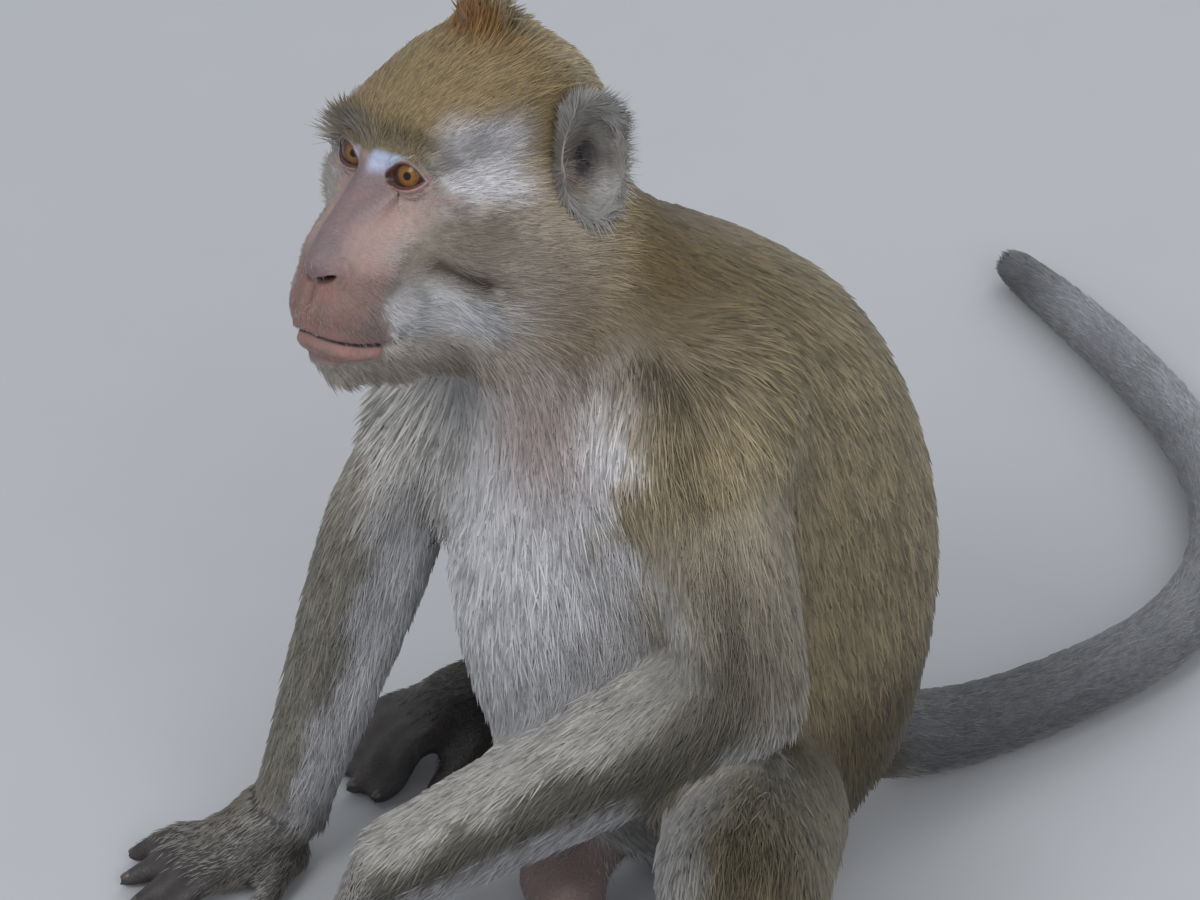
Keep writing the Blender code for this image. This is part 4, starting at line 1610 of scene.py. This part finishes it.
@dataclass
class Tufts:
    """Closed four-cornered tufts: two corners at the root, a raised ridge and a tip."""

    name: str
    fleck: float = 0.75
    clump: float = 0.2
    clump_size: float = 0.55
    patch: float = 0.0015

    def grow(self, roots: Growth, colours: Array, rng: np.random.Generator) -> Object:
        """Grows one tuft at each root.

        The root's two corners lie either side of it across the hair's way. The ridge is a little under half
        way along and lifted, and the tip is drawn towards the middle of the cell of space it starts in, so
        that neighbours gather in locks.

        Args:
            roots: the facts at each root.
            colours: each tuft's colour.
            rng: the seeded source of chance.

        Returns:
            The tufts as one object.
        """
        count = len(roots.points)
        normal = roots.normals
        swing = np.radians(rng.normal(0, 9, count))[:, None]
        side = np.cross(roots.way, normal)
        way = roots.way * np.cos(swing) + side * np.sin(swing)
        lift = np.radians(roots.lift * rng.uniform(0.45, 1.6, count))[:, None]
        ahead = way * np.cos(lift) + normal * np.sin(lift)
        side = unit(np.cross(ahead, normal))
        upper = unit(np.cross(side, ahead))
        length = (roots.length * rng.uniform(0.6, 1.15, count))[:, None]
        width = (roots.width * rng.uniform(0.7, 1.3, count))[:, None]
        cell = np.floor(roots.points / self.clump_size)
        jitter = np.stack([hashed(cell, seed) for seed in (1, 2, 3)], axis=1)
        gather = (cell + 0.15 + 0.7 * jitter) * self.clump_size - roots.points
        gather -= np.sum(gather * normal, axis=1, keepdims=True) * normal
        base = roots.points - normal * 0.05
        first, second = base - side * width / 2, base + side * width / 2
        ridge = base + ahead * length * 0.45 + upper * (0.012 + length * 0.02) + gather * self.clump * 0.4
        droop = np.array((0, 0, -0.05)) * length
        bend = upper * (length * 0.05 + length**2 * 0.035)
        tip = base + ahead * length - bend + gather * self.clump + droop
        points = np.stack([first, second, ridge, tip], axis=1)
        points[..., 2] = np.maximum(points[..., 2], 0.015)
        faces = np.array(((0, 1, 2), (1, 0, 3), (0, 2, 3), (2, 1, 3)))
        volume = np.einsum("nk,nk->n", np.cross(second - first, ridge - first), tip - first)
        faces = faces if np.median(volume) < 0 else faces[:, ::-1]
        corners = (faces[None] + 4 * np.arange(count)[:, None, None]).reshape(-1, 3)
        piece = build_mesh(self.name, points.reshape(-1, 3), corners, COAT_MATERIAL[0])
        paint(piece.data, self.shades(colours, rng).reshape(-1, 3))
        self.soften(piece.data, normal, upper)
        self.unwrap(piece.data, roots.points, corners)
        return piece

    def shades(self, colours: Array, rng: np.random.Generator) -> Array:
        """Four colours a tuft: dark at the root, the coat's own at the ridge, and a light or dark tip.

        Args:
            colours: each tuft's colour.
            rng: the seeded source of chance.

        Returns:
            Rows of four colours.
        """
        count = len(colours)
        chance = rng.random(count)
        light = np.where(chance < 0.68, 1 + 0.75 * self.fleck, 1.0)
        tip = np.where(chance < 0.3, 1 - 0.62 * self.fleck, light)
        shade = rng.uniform(1 - 0.3 * self.fleck, 1 + 0.3 * self.fleck, count)
        grey = colours.mean(axis=1, keepdims=True)
        warm = np.where(chance[:, None] < 0.68, colours + 0.12 * (colours - grey), colours)
        root = (colours * 0.6 + grey * 0.08) * shade[:, None]
        return np.stack([root, root, colours * shade[:, None], warm * tip[:, None]], axis=1)

    def soften(self, mesh: Mesh, normal: Array, upper: Array) -> None:
        """Shades each tuft mostly by the skin it lies on, so that the coat looks soft."""
        rows = unit(0.72 * normal + 0.28 * upper)
        mesh.normals_split_custom_set_from_vertices(np.repeat(rows, 4, axis=0).astype(np.float32))

    def unwrap(self, mesh: Mesh, roots: Array, corners: Array) -> None:
        """Gives each tuft a small patch of the map at its root's place on the body's unwrap.

        Args:
            mesh: the mesh.
            roots: each tuft's root.
            corners: the tufts' faces.
        """
        layer = mesh.uv_layers.new(name=BAKE_MAP)
        offsets = self.patch * np.array(((-1, -1), (1, -1), (1, 1), (-1, 1)))
        rows = unwrapped(roots)[corners // 4] + offsets[corners % 4]
        layer.data.foreach_set("uv", np.clip(rows, 0.0, 1.0).astype(np.float32).ravel())


@dataclass(frozen=True)
class Island:
    """One part of the body unrolled onto the map: a run of it along one axis and round that axis."""

    start: Place
    end: Place
    radius: float
    corner: tuple[float, float]
    size: tuple[float, float]


ISLANDS = (
    Island((-3.2, -10.5, 28.5), (-2.0, -8.5, 39.0), 5.5, (0.01, 0.66), (0.48, 0.33)),
    Island((0.0, 0.0, -0.5), (-0.8, -6.0, 28.0), 7.5, (0.01, 0.31), (0.60, 0.33)),
    Island(SHOULDER["left"], ELBOW["left"], 2.8, (0.63, 0.31), (0.17, 0.16)),
    Island(SHOULDER["right"], ELBOW["right"], 2.8, (0.81, 0.31), (0.17, 0.16)),
    Island(ELBOW["left"], (-1.8, -18.0, 0.5), 2.2, (0.63, 0.48), (0.17, 0.17)),
    Island(ELBOW["right"], (-9.3, -19.0, 0.5), 2.2, (0.81, 0.48), (0.17, 0.17)),
    Island(HIP["left"], KNEE["left"], 3.6, (0.51, 0.66), (0.23, 0.16)),
    Island(HIP["right"], KNEE["right"], 3.6, (0.75, 0.66), (0.23, 0.16)),
    Island(KNEE["left"], (11.5, -10.0, 1.0), 2.5, (0.51, 0.83), (0.23, 0.16)),
    Island(KNEE["right"], (-11.4, -6.0, 1.0), 2.5, (0.75, 0.83), (0.23, 0.16)),
    Island((0.0, 4.6, 4.6), (0.0, 17.7, 1.6), 1.8, (0.01, 0.01), (0.31, 0.28)),
    Island((0.0, 17.7, 1.6), (-4.5, 27.6, 1.5), 1.6, (0.34, 0.01), (0.31, 0.28)),
    Island((-4.5, 27.6, 1.5), (-26.6, 33.3, 1.1), 1.5, (0.67, 0.01), (0.31, 0.28)),
)


def unwrapped(points: Array) -> Array:
    """Each point's place on the map: the nearest island's run across, and the turn round it upward.

    Args:
        points: rows of X, Y and Z.

    Returns:
        Rows of two numbers from 0 to 1.
    """
    best = np.full(len(points), np.inf)
    places = np.zeros((len(points), 2))
    for island in ISLANDS:
        start, end = np.array(island.start), np.array(island.end)
        axis = unit(end - start)
        high = np.linalg.norm(end - start)
        along = (points - start) @ axis
        offset = points - start - np.clip(along, 0, high)[:, None] * axis
        away = np.linalg.norm(offset, axis=1) / island.radius
        first = unit(np.cross(axis, (0.31, 0.87, -0.38)))
        second = np.cross(axis, first)
        turn = np.arctan2(offset @ second, offset @ first) / (2 * math.pi) + 0.5
        share = (along + 2.5) / (high + 5.0)
        place = np.stack([np.clip(share, 0, 1), turn], axis=1) * island.size + island.corner
        nearer = away < best
        best = np.where(nearer, away, best)
        places[nearer] = place[nearer]
    return places


COAT_MATERIAL: list[Material] = []
COAT_PARTS = {
    "head_front": ("head",), "head_back": ("head",), "neck": ("neck",), "chest": ("chest",),
    "belly": ("belly",), "pelvis": ("pelvis",),
    "arm_left": ("upper_arm_left", "forearm_left", "hand_left"),
    "arm_right": ("upper_arm_right", "forearm_right", "hand_right"),
    "leg_left": ("thigh_left", "shin_left", "foot_left"),
    "leg_right": ("thigh_right", "shin_right", "foot_right", "scrotum"),
    "tail": ("tail",),
}
LOCKS = {"head_front": (0.15, 0.35), "head_back": (0.15, 0.35), "tail": (0.12, 0.35)}


@dataclass
class Coat:
    """All the tufts of the body, sampled over the skin by how thickly each part is haired."""

    seed: int = 7
    thickness: float = 0.925

    def roots(self, growth: Growth, triangles: Array, density: Array, rng: np.random.Generator) -> Growth:
        """Random places on the skin, as many on each triangle as its size and density ask.

        Args:
            growth: the facts at each place.
            triangles: rows of three vertices.
            density: tufts for a square centimetre.
            rng: the seeded source of chance.

        Returns:
            The facts at each place.
        """
        a, b, c = (growth.points[triangles[:, n]] for n in range(3))
        areas = np.linalg.norm(np.cross(b - a, c - a), axis=1) / 2
        wanted = areas * density[triangles].mean(axis=1) * self.thickness
        counts = np.floor(wanted + rng.random(len(wanted))).astype(int)
        corners = np.repeat(triangles, counts, axis=0)
        mix = rng.dirichlet((1, 1, 1), len(corners))
        return growth.at(corners, mix)

    def grow(self, mesh: Mesh, growth: Growth) -> list[Object]:
        """Grows the coat.

        Args:
            mesh: the skin's mesh.
            growth: its facts.

        Returns:
            The coat's pieces.
        """
        rng = np.random.default_rng(self.seed)
        triangles = mesh_triangles(mesh)
        under = ramp(-growth.normals[:, 2], 0.6, 0.95) * ramp(1.2 - growth.points[:, 2], 0, 0.8)
        density = growth.density * (1 - ramp(growth.bare, 0.25, 0.8)) * (1 - under)
        for name in PAWS:
            density *= 1 - self.digits(growth, name)
        eyes = np.zeros(len(density), dtype=bool)
        for plan in EYES.values():
            away, inside = plan.seen(growth.head)
            eyes |= (away < 1.5) & (inside > -4)
        density[eyes] = 0
        pieces = self.furred(self.roots(growth, triangles, density, rng), rng)
        fuzz = self.fuzz(growth.plain) * growth.bare * self.clear(growth) * ~eyes
        down = self.roots(growth, triangles, fuzz, rng)
        down.length = 0.22 + 0.2 * ramp(np.abs(down.plain[:, 0]), 0.8, 2.2)
        down.length *= rng.uniform(0.7, 1.3, len(down.length))
        down.width = np.full(len(down.width), 0.015)
        down.lift = np.full(len(down.lift), 13.0)
        colours = blend(PALE, FACE.colours(down.plain) * 1.15, 0.45)
        pieces.append(Tufts("face_down", 0.3, 0.05).grow(down, colours, rng))
        return pieces

    def fuzz(self, q: Array) -> Array:
        """How thickly the face's down grows: thin on the nose, thicker at cheek, lip and chin.

        Args:
            q: head points.

        Returns:
            Tufts for a square centimetre.
        """
        fuzz = 150 + 420 * ramp(np.abs(q[:, 0]), 0.6, 1.8) * ramp(q[:, 1], -3.0, -1.2)
        fuzz = fuzz + 200 * ramp(-q[:, 2], 3.4, 4.2)
        return fuzz + 260 * ramp(-q[:, 2], 4.3, 5.0) * ramp(-q[:, 1], 0.5, 1.5)

    def clear(self, growth: Growth) -> Array:
        """How far each place is from the nostrils and the mouth's line, from 0 to 1."""
        clear = 1 - ramp(FACE.nostrils(growth.plain)[0], 0.02, 0.1)
        return clear * ramp(np.abs(FACE.above_mouth(growth.plain) + 0.1), 0.3, 0.5)

    def digits(self, growth: Growth, name: str) -> Array:
        """How much of a hand or foot lies beyond the hair of its back.

        Args:
            growth: the facts at each place.
            name: the part.

        Returns:
            From 0 to 1 a row.
        """
        low, high = (np.array(corner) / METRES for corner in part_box(name))
        reach = (growth.points[:, 1] - low[1]) / (high[1] - low[1])
        return ramp(growth.share(name), 0.3, 0.8) * ramp(0.4 - reach, -0.08, 0.18)

    def furred(self, roots: Growth, rng: np.random.Generator) -> list[Object]:
        """Parts the roots by where they grow, and grows a piece of the coat from each share of them.

        Args:
            roots: the facts at each root.
            rng: the seeded source of chance.

        Returns:
            The pieces.
        """
        owner = roots.shares.argmax(axis=1)
        colours = MarkingsAndPaintedLight().coat(roots)
        front = roots.head[:, 1] < 2.2
        pieces = []
        for name, starts in COAT_PARTS.items():
            chosen = np.isin(owner, numbers(*starts))
            if name.startswith("head"):
                chosen &= front if name == "head_front" else ~front
            tufts = Tufts(f"coat_{name}")
            if name in LOCKS:
                tufts.clump, tufts.clump_size = LOCKS[name]
            pieces.append(tufts.grow(roots.changed(lambda rows: rows[chosen]), colours[chosen], rng))
            LOG.info("%s: %d tufts", tufts.name, np.count_nonzero(chosen))
        return pieces


# ---- eyes and lids


@dataclass
class Eyeball:
    """A ball with a raised cornea over an amber iris, turned to where the monkey looks."""

    plan: EyePlan
    yaw: float
    pitch: float
    pupil: float = 8.6
    iris: float = 28.5
    rows: int = 96
    columns: int = 96

    def build(self, name: str) -> Object:
        """The ball: radius over the angle from its axis, bulged before the iris by a bell.

        Args:
            name: the piece's name.

        Returns:
            The piece.
        """
        theta = math.pi * (np.linspace(0, 1, self.rows) ** 1.5)
        t, p = np.meshgrid(theta, circle(self.columns), indexing="ij")
        radius = self.plan.ball * (1 + 0.055 * bell(np.degrees(t), 26)) - 0.01
        axis = self.plan.direction(np.array(self.yaw), np.array(self.pitch))
        right = unit(np.cross(axis, (0, 0, 1.0)))
        upward = np.cross(right, axis)
        way = (
            np.cos(t)[..., None] * axis
            + (np.sin(t) * np.cos(p))[..., None] * right
            + (np.sin(t) * np.sin(p))[..., None] * upward
        )
        q = self.plan.centre() + way * radius[..., None]
        points = HEAD.outward(q.reshape(-1, 3))
        piece = build_mesh(name, points, grid_faces(self.rows, self.columns)[:, ::-1], EYE_FINISH.material())
        paint(piece.data, self.colours(np.degrees(t).ravel(), p.ravel()))
        return cleaned(piece)

    def colours(self, angle: Array, turn: Array) -> Array:
        """Pupil, iris with rays, its dark edge and the brown white, by the angle from the axis.

        Args:
            angle: degrees from the axis.
            turn: radians round the axis.

        Returns:
            One colour a row.
        """
        ring = np.stack([np.cos(turn) * angle, np.sin(turn) * angle, angle * 0.2], axis=1)
        rays = noise(np.stack([turn * 9, angle * 0.12, angle * 0], axis=1), 1.0, 41)
        white = blend(EYE_DARK, EYE_BROWN, noise(ring, 9, 42))
        return layered(
            tiled(AMBER, angle),
            (GOLD, np.clip(rays * 1.2 - 0.2, 0, 1)),
            (GOLD * 1.25, 0.55 * bell(angle - 13, 5)),
            (AMBER * 0.35, ramp(angle, self.iris - 6, self.iris - 1)),
            (PUPIL, 1 - ramp(angle, self.pupil - 0.8, self.pupil + 0.8)),
            (white, ramp(angle, self.iris - 0.5, self.iris + 2.5)),
        )


@dataclass
class LidRim:
    """The wet dark margin of the lids: a round carried along the opening."""

    plan: EyePlan
    thick: float = 0.032
    count: int = 120
    sides: int = 10

    def build(self, name: str) -> Object:
        """The opening's line on the lid's shell, with a small circle carried along it.

        Args:
            name: the piece's name.

        Returns:
            The piece.
        """
        yaw, pitch = self.plan.rim(self.count)
        line = self.plan.centre() + self.plan.direction(yaw, pitch) * (self.plan.shell(yaw) - 0.012)[:, None]
        along = unit(np.roll(line, -1, axis=0) - np.roll(line, 1, axis=0))
        out = unit(line - self.plan.centre())
        across = unit(np.cross(along, out))
        turn = circle(self.sides)
        ring = (
            line[:, None]
            + self.thick * np.cos(turn)[None, :, None] * across[:, None]
            + self.thick * 0.8 * np.sin(turn)[None, :, None] * out[:, None]
        )
        points = HEAD.outward(ring.reshape(-1, 3))
        faces = grid_faces(self.count, self.sides, ring=True)
        piece = build_mesh(name, points, faces, LID_FINISH.material())
        shade = 0.8 + 0.5 * noise(points, 0.12, 44)
        paint(piece.data, RIM_DARK * shade[:, None])
        return cleaned(piece)


# ---- ears


@dataclass
class Ear:
    """One ear: a cupped leaf with a rolled rim, a hollow before it and a fringe of pale hair."""

    side: Side
    root: Place = (4.35, 4.2, -0.7)
    high: float = 3.85
    wide: float = 2.45
    cup: float = 0.7
    splay: float = 74.0
    tilt: float = -12.0
    rings: int = 64
    spokes: int = 120

    def place(self, leaf: Array) -> Array:
        """Points of the flat leaf, set on the head and turned into the world.

        Args:
            leaf: points of the flat leaf.

        Returns:
            The points in the world.
        """
        sign = self.side.value
        flipped = (leaf + np.array((self.wide * 0.36, self.cup * 0.6, 0.8))) * (sign, 1, 1)
        turned = flipped @ (turn_matrix("Z", sign * self.splay) @ turn_matrix("X", self.tilt)).T
        return HEAD.outward(turned + np.array(self.root) * (sign, 1, 1))

    def leaf(self) -> tuple[Array, Array]:
        """The leaf's grid: a profile from the hollow's middle over the rolled rim to the back's middle.

        The profile gives a share of the leaf's radius and a depth. The fold inside the rim and the roll are
        strongest above and behind, and fade at the lobe and at the front edge.

        Returns:
            The points, and each point's share of the way out from the middle, over 1 on the back.
        """
        t = np.linspace(0, 1, self.rings)
        share = np.interp(
            t,
            (0, 0.16, 0.3, 0.42, 0.5, 0.56, 0.64, 0.8, 1.0),
            (0, 0.34, 0.62, 0.84, 0.95, 1.0, 0.96, 0.6, 0),
        )
        sunk = np.interp(
            t,
            (0, 0.16, 0.26, 0.34, 0.44, 0.5, 0.56, 0.64, 0.8, 1),
            (0.16, 0.13, -0.10, 0.0, 0.07, -0.10, -0.03, 0.24, 0.30, 0.32),
        )
        s, a = np.meshgrid(share, circle(self.spokes), indexing="ij")
        inner = np.repeat((t < 0.5)[:, None], self.spokes, axis=1)
        d = np.repeat(sunk[:, None], self.spokes, axis=1)
        upper = ramp(np.sin(a), -0.75, 0.1) * (0.35 + 0.65 * ramp(np.cos(a), -1.0, -0.2))
        d = np.where(inner, d * (0.25 + 0.75 * upper) + 0.03 * (1 - upper), d)
        across = s * np.cos(a) * self.wide / 2
        tall = s * np.sin(a) * self.high / 2 + 0.18 * across * s
        tall = tall + 0.10 * s**3 * bell(a - 1.9, 0.35)
        tragus = 0.30 * bell(across + 0.95, 0.3) * bell(tall + 0.35, 0.5) * inner
        y = d - self.cup * s**2 - tragus
        points = np.stack([across, y, tall], axis=-1).reshape(-1, 3)
        return points, np.where(inner, s, 1 + (1 - s)).ravel()

    def colours(self, leaf: Array, share: Array) -> Array:
        """Dusky skin darkened with painted shade in the hollow, rosy before it, greyish pink on the rim and
        the coat's grey behind.

        Args:
            leaf: points of the flat leaf.
            share: the share of the way out.

        Returns:
            One colour a row.
        """
        front = bell(leaf[:, 0] + 0.65, 0.5) * bell(leaf[:, 2] + 0.45, 0.75) * (share < 0.92)
        hollow = bell(np.hypot(leaf[:, 0] + 0.05, (leaf[:, 2] - 0.15) / 1.4), 0.6) * (share < 1)
        colour = layered(
            tiled(EAR_SKIN, leaf),
            (EAR_ROSE, 0.95 * front),
            # Painted shade over the dusky skin of the hollow.
            (EAR_HOLLOW_SHADE, np.clip(1.3 * hollow, 0, 0.97)),
            (GREY * 0.8, ramp(share, 1.05, 1.25)),
        )
        return colour * (0.85 + 0.3 * noise(leaf, 0.3, 51))[:, None]

    def build(self, name: str) -> Object:
        """The ear's shell.

        Args:
            name: the piece's name.

        Returns:
            The piece.
        """
        leaf, share = self.leaf()
        faces = grid_faces(self.rings, self.spokes)
        piece = build_mesh(name, self.place(leaf), faces, EAR_FINISH.material())
        paint(piece.data, self.colours(leaf, share))
        return cleaned(piece)

    def haired(self) -> tuple[Growth, Array]:
        """How the ear's hair grows over its shell, and the shell's triangles.

        Returns:
            The facts, and rows of three vertices.
        """
        leaf, share = self.leaf()
        world = self.place(leaf)
        faces = grid_faces(self.rings, self.spokes)
        triangles = np.vstack([faces[:, :3], faces[:, [0, 2, 3]]])
        a, b, c = (world[triangles[:, n]] for n in range(3))
        turned = 1 if np.einsum("ij,ij->i", a, np.cross(b, c)).sum() > 0 else -1
        normals = point_normals(world, triangles) * turned
        across, _, tall = leaf.T
        back = share > 1.1
        lower, upper = ramp(-tall, 0.2, 1.8), ramp(tall, 0.3, 1.6)
        spread = np.stack([across * 0.4 + 0.8, np.full(len(leaf), 0.5), tall * 0.45 - 0.5 * lower], axis=1)
        way = unit(self.place(unit(spread)) - self.place(np.zeros((1, 3))))
        edge = bell(share - 1.0, 0.12)
        fronted = 1 - 0.9 * bell(across + 0.7, 0.38) * bell(tall + 0.4, 0.6) * (share < 0.9)
        open_hair = ramp(np.hypot(across, (tall - 0.1) / 1.3), 0.34, 0.68)
        return Growth(
            world, normals, HEAD.inward(world), leaf, np.eye(len(FLESH))[np.zeros(len(world), int)],
            np.zeros(len(world)), flattened(way, normals),
            np.where(back, 0.5, 0.48) + 0.12 * lower + 0.15 * edge + 0.3 * upper,
            np.full(len(world), 0.022),
            np.where(back, 12.0, 20.0 + 14 * upper),
            np.where(back, 300.0, 520.0 * open_hair + 15) * (1 + 0.6 * edge) * fronted,
        ), triangles

    def fringe(self, name: str, rng: np.random.Generator) -> Object:
        """Pale hair on the ear's back and rim, sweeping back and up, and sparse inside it.

        Args:
            name: the piece's name.
            rng: the seeded source of chance.

        Returns:
            The piece.
        """
        growth, triangles = self.haired()
        roots = Coat().roots(growth, triangles, growth.density, rng)
        across, _, tall = roots.plain.T
        pale = ramp(across, -0.2, 0.9) * 0.35 + 0.45 * ramp(tall, 0.6, 1.4) + 0.4 * ramp(-tall, 0.2, 1.0)
        base = blend(FRINGE_DARK, FRINGE_PALE, np.clip(pale, 0, 1))
        base = base * (0.8 + 0.4 * noise(roots.points, 0.4, 52))[:, None]
        return Tufts(name, 0.45, 0.12, 0.3).grow(roots, base, rng)


# ---- nails


@dataclass
class Digits:
    """The tips of one hand's or foot's fingers, worked out from its heading as the solids are."""

    part: str
    start: Place
    heading: tuple[float, float]
    fans: tuple[Place, ...]
    reach: float
    first: Place
    first_reach: float
    nail: float
    rings: int = 13
    spokes: int = 18

    def turned(self, degrees: float) -> Array:
        """The heading turned on the floor."""
        angle = math.atan2(self.heading[1], self.heading[0]) + math.radians(degrees)
        return np.array((math.cos(angle), math.sin(angle), 0.0))

    def tips(self) -> list[tuple[Array, Array, float]]:
        """Each digit's end on the ground, its way and its nail's half-length.

        Returns:
            One row for each digit.
        """
        turn = 1 if self.part.endswith("right") else -1
        ahead, inner = self.turned(0), self.turned(90 * turn)
        ground = np.array((self.start[0], self.start[1], 0.0))
        digits = [(*fan, self.reach, self.nail) for fan in self.fans]
        digits.append((*self.first, self.first_reach, self.nail * 1.15))
        found = []
        for angle, length, place, reach, half in digits:
            way = self.turned(turn * angle)
            found.append((ground + ahead * reach + inner * place + way * length, way, half))
        return found

    def build(self, name: str) -> Object:
        """The nails: small curved shells, each a half-sunk ball long along its digit and bent over it.

        Args:
            name: the piece's name.

        Returns:
            The piece.
        """
        theta, phi = np.meshgrid(np.linspace(0, math.pi, self.rings), circle(self.spokes), indexing="ij")
        x, y, z = np.sin(theta) * np.cos(phi), np.sin(theta) * np.sin(phi), np.cos(theta)
        thick = (z * 0.09 - 0.10 * y**2 - 0.14 * x * (x > 0))[..., None] * np.array(UPRIGHT)
        points, faces = [], []
        for number, (tip, way, half) in enumerate(self.tips()):
            across = np.cross(UPRIGHT, way)
            shape = (x * half * 1.15)[..., None] * way + (y * half * 0.8)[..., None] * across + thick
            points.append((shape + tip - way * 0.12 + np.array((0, 0, 0.66))).reshape(-1, 3))
            faces.append(grid_faces(self.rings, self.spokes)[:, ::-1] + number * self.rings * self.spokes)
        rows = np.vstack(points)
        piece = build_mesh(name, rows, np.vstack(faces), NAIL_FINISH.material())
        paint(piece.data, HORN * (0.7 + 0.7 * noise(rows, 0.12, 61))[:, None])
        return cleaned(piece)


FINGER_FAN = ((12.0, 3.3, 1.15), (3.0, 3.8, 0.4), (-9.0, 3.6, -0.4), (-22.0, 3.0, -1.15))
TOE_FAN = ((8.0, 3.3, 1.2), (2.0, 3.8, 0.45), (-5.0, 3.7, -0.35), (-12.0, 3.2, -1.1))
FINGERS = (FINGER_FAN, 3.0, (44.0, 2.6, 0.7), 0.3, 0.27)
TOES = (TOE_FAN, 6.2, (16.0, 4.3, 1.3), 3.2, 0.29)


def digit_sets() -> dict[str, Digits]:
    """The four sets of digits by the name of their solid.

    Returns:
        The digits by name.
    """
    sets = {}
    for side in SIDES:
        hand, foot = f"hand_{side}", f"foot_{side}"
        sets[hand] = Digits(hand, WRIST[side], HAND_HEADING[side], *FINGERS)
        sets[foot] = Digits(foot, ANKLE[side], FOOT_HEADING[side], *TOES)
    return sets


# ---- the stage


LAMPS = {
    "key": ((0.6, -1.9, 2.2), 30, 1.1),
    "fill": ((2.2, -0.4, 1.6), 26, 2.0),
    "back": ((-1.2, 1.8, 1.8), 15, 1.6),
}


@dataclass
class Stage:
    """The floor, the light and the camera."""

    azimuth: float = 58.0
    elevation: float = 35.0
    distance: float = 170.0
    focal: float = 4400.0
    frame_width: float = 1200.0
    frame_height: float = 900.0
    origin_across: float = 730.0
    origin_down: float = 855.0
    sensor: float = 36.0

    def floor(self) -> None:
        """A wide pale slab under the animal."""
        grid = np.array(((-300, -300, 0), (300, -300, 0), (300, 300, 0), (-300, 300, 0)), float)
        slab = build_mesh("floor", grid, np.array(((0, 1, 2, 3),)), FLOOR_FINISH.material())
        paint(slab.data, tiled(FLOOR_PALE, grid))

    def camera(self) -> None:
        """The camera: looking down from the animal's left front."""
        az, el = math.radians(self.azimuth), math.radians(self.elevation)
        back = np.array((math.sin(az) * math.cos(el), -math.cos(az) * math.cos(el), math.sin(el)))
        right = np.array((math.cos(az), math.sin(az), 0.0))
        upward = np.cross(back, right)
        across = (self.origin_across - self.frame_width / 2) / self.focal * self.distance
        down = (self.origin_down - self.frame_height / 2) / self.focal * self.distance
        place = back * self.distance - right * across + upward * down
        lens = bpy.data.cameras.new("camera")
        lens.sensor_width = self.sensor
        lens.lens = self.focal * self.sensor / self.frame_width
        lens.clip_end = 50
        axes = np.stack([right, upward, back], axis=1)
        bpy.context.scene.camera = self.stand("camera", lens, axes, place * METRES)

    def lamp(self, name: str, place: Place, power: float, size: float) -> None:
        """A soft square lamp that faces the animal's chest.

        Args:
            name: the lamp's name.
            place: where it hangs, in metres.
            power: its watts.
            size: its width in metres.
        """
        lamp = bpy.data.lights.new(name, "AREA")
        lamp.energy = power
        lamp.size = size
        back = unit(np.array(place) - np.array((0, -0.05, 0.18)))
        right = unit(np.cross(UPRIGHT, back))
        self.stand(name, lamp, np.stack([right, np.cross(back, right), back], axis=1), place)

    def stand(self, name: str, data: bpy.types.ID, axes: Array, place: Array | Place) -> Object:
        """Stands a camera or a lamp at a place in metres, its axes given as columns.

        Args:
            name: the object's name.
            data: what it shows.
            axes: its axes as columns.
            place: where it stands, in metres.

        Returns:
            The object.
        """
        thing = linked(name, data)
        rows = [(*row, value) for row, value in zip(axes.tolist(), place)]
        thing.matrix_world = Matrix([*rows, (0, 0, 0, 1)])
        return thing

    def build(self) -> None:
        """Floor, camera, lamps and a pale sky."""
        self.floor()
        self.camera()
        for name, lamp in LAMPS.items():
            self.lamp(name, *lamp)
        world = bpy.data.worlds.new("sky")
        world.use_nodes = True
        sky = world.node_tree.nodes["Background"]
        sky.inputs["Color"].default_value = (0.93, 0.96, 1.0, 1.0)
        sky.inputs["Strength"].default_value = 0.65
        bpy.context.scene.world = world
        bpy.context.scene.view_settings.view_transform = "Standard"


# ---- putting it together


SLOTS = {
    "head": "head", "down": "head", "neck": "neck", "chest": "chest", "belly": "belly", "pelvis": "pelvis",
    "arm": "forearm_left", "leg": "thigh_left", "tail": "tail_1",
}


GAZE = {"left": (22.5, 6.0), "right": (-16.5, 6.5)}
EAR_ROOTS = {"left": (4.35, 4.65, -0.65), "right": (4.35, 4.3, -1.05)}


def report(piece: Object, slot: str, *nodes: str) -> None:
    """Rides a finished piece on the body, hides the solids that it stands for, and logs it.

    Args:
        piece: the finished piece.
        slot: not used.
        nodes: the solids that it stands for, if any.
    """
    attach(piece, BODY)
    if nodes:
        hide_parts(*nodes)
    LOG.info("%s: %d faces", piece.name, len(piece.data.polygons))


def main() -> None:
    """Builds the animal piece by piece."""
    logging.basicConfig(level=logging.INFO, format="%(message)s")
    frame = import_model()
    Stage().build()
    COAT_MATERIAL.append(COAT_FINISH.material())

    mesh, growth = Skin().shape(frame["nodes"])
    mesh.materials.clear()
    mesh.materials.append(SKIN_FINISH.material())
    mesh.polygons.foreach_set("use_smooth", np.ones(len(mesh.polygons), dtype=bool))
    paint(mesh, MarkingsAndPaintedLight().skin(growth))
    report(linked("skin", mesh), "chest", *FLESH)

    for piece in Coat().grow(mesh, growth):
        report(piece, SLOTS[piece.name.split("_")[1]])

    rng = np.random.default_rng(23)
    for side, plan in EYES.items():
        report(Eyeball(plan, *GAZE[side]).build(f"eyeball_{side}"), f"eye_{side}", f"eye_{side}")
        report(LidRim(plan).build(f"lid_rim_{side}"), "head")
        ear = Ear(plan.side, EAR_ROOTS[side])
        report(ear.build(f"ear_shell_{side}"), f"ear_{side}", f"ear_{side}")
        report(ear.fringe(f"ear_fringe_{side}", rng), f"ear_{side}")
    for name, digits in digit_sets().items():
        report(digits.build(f"nails_{name}"), name)


if __name__ == "__main__":
    main()
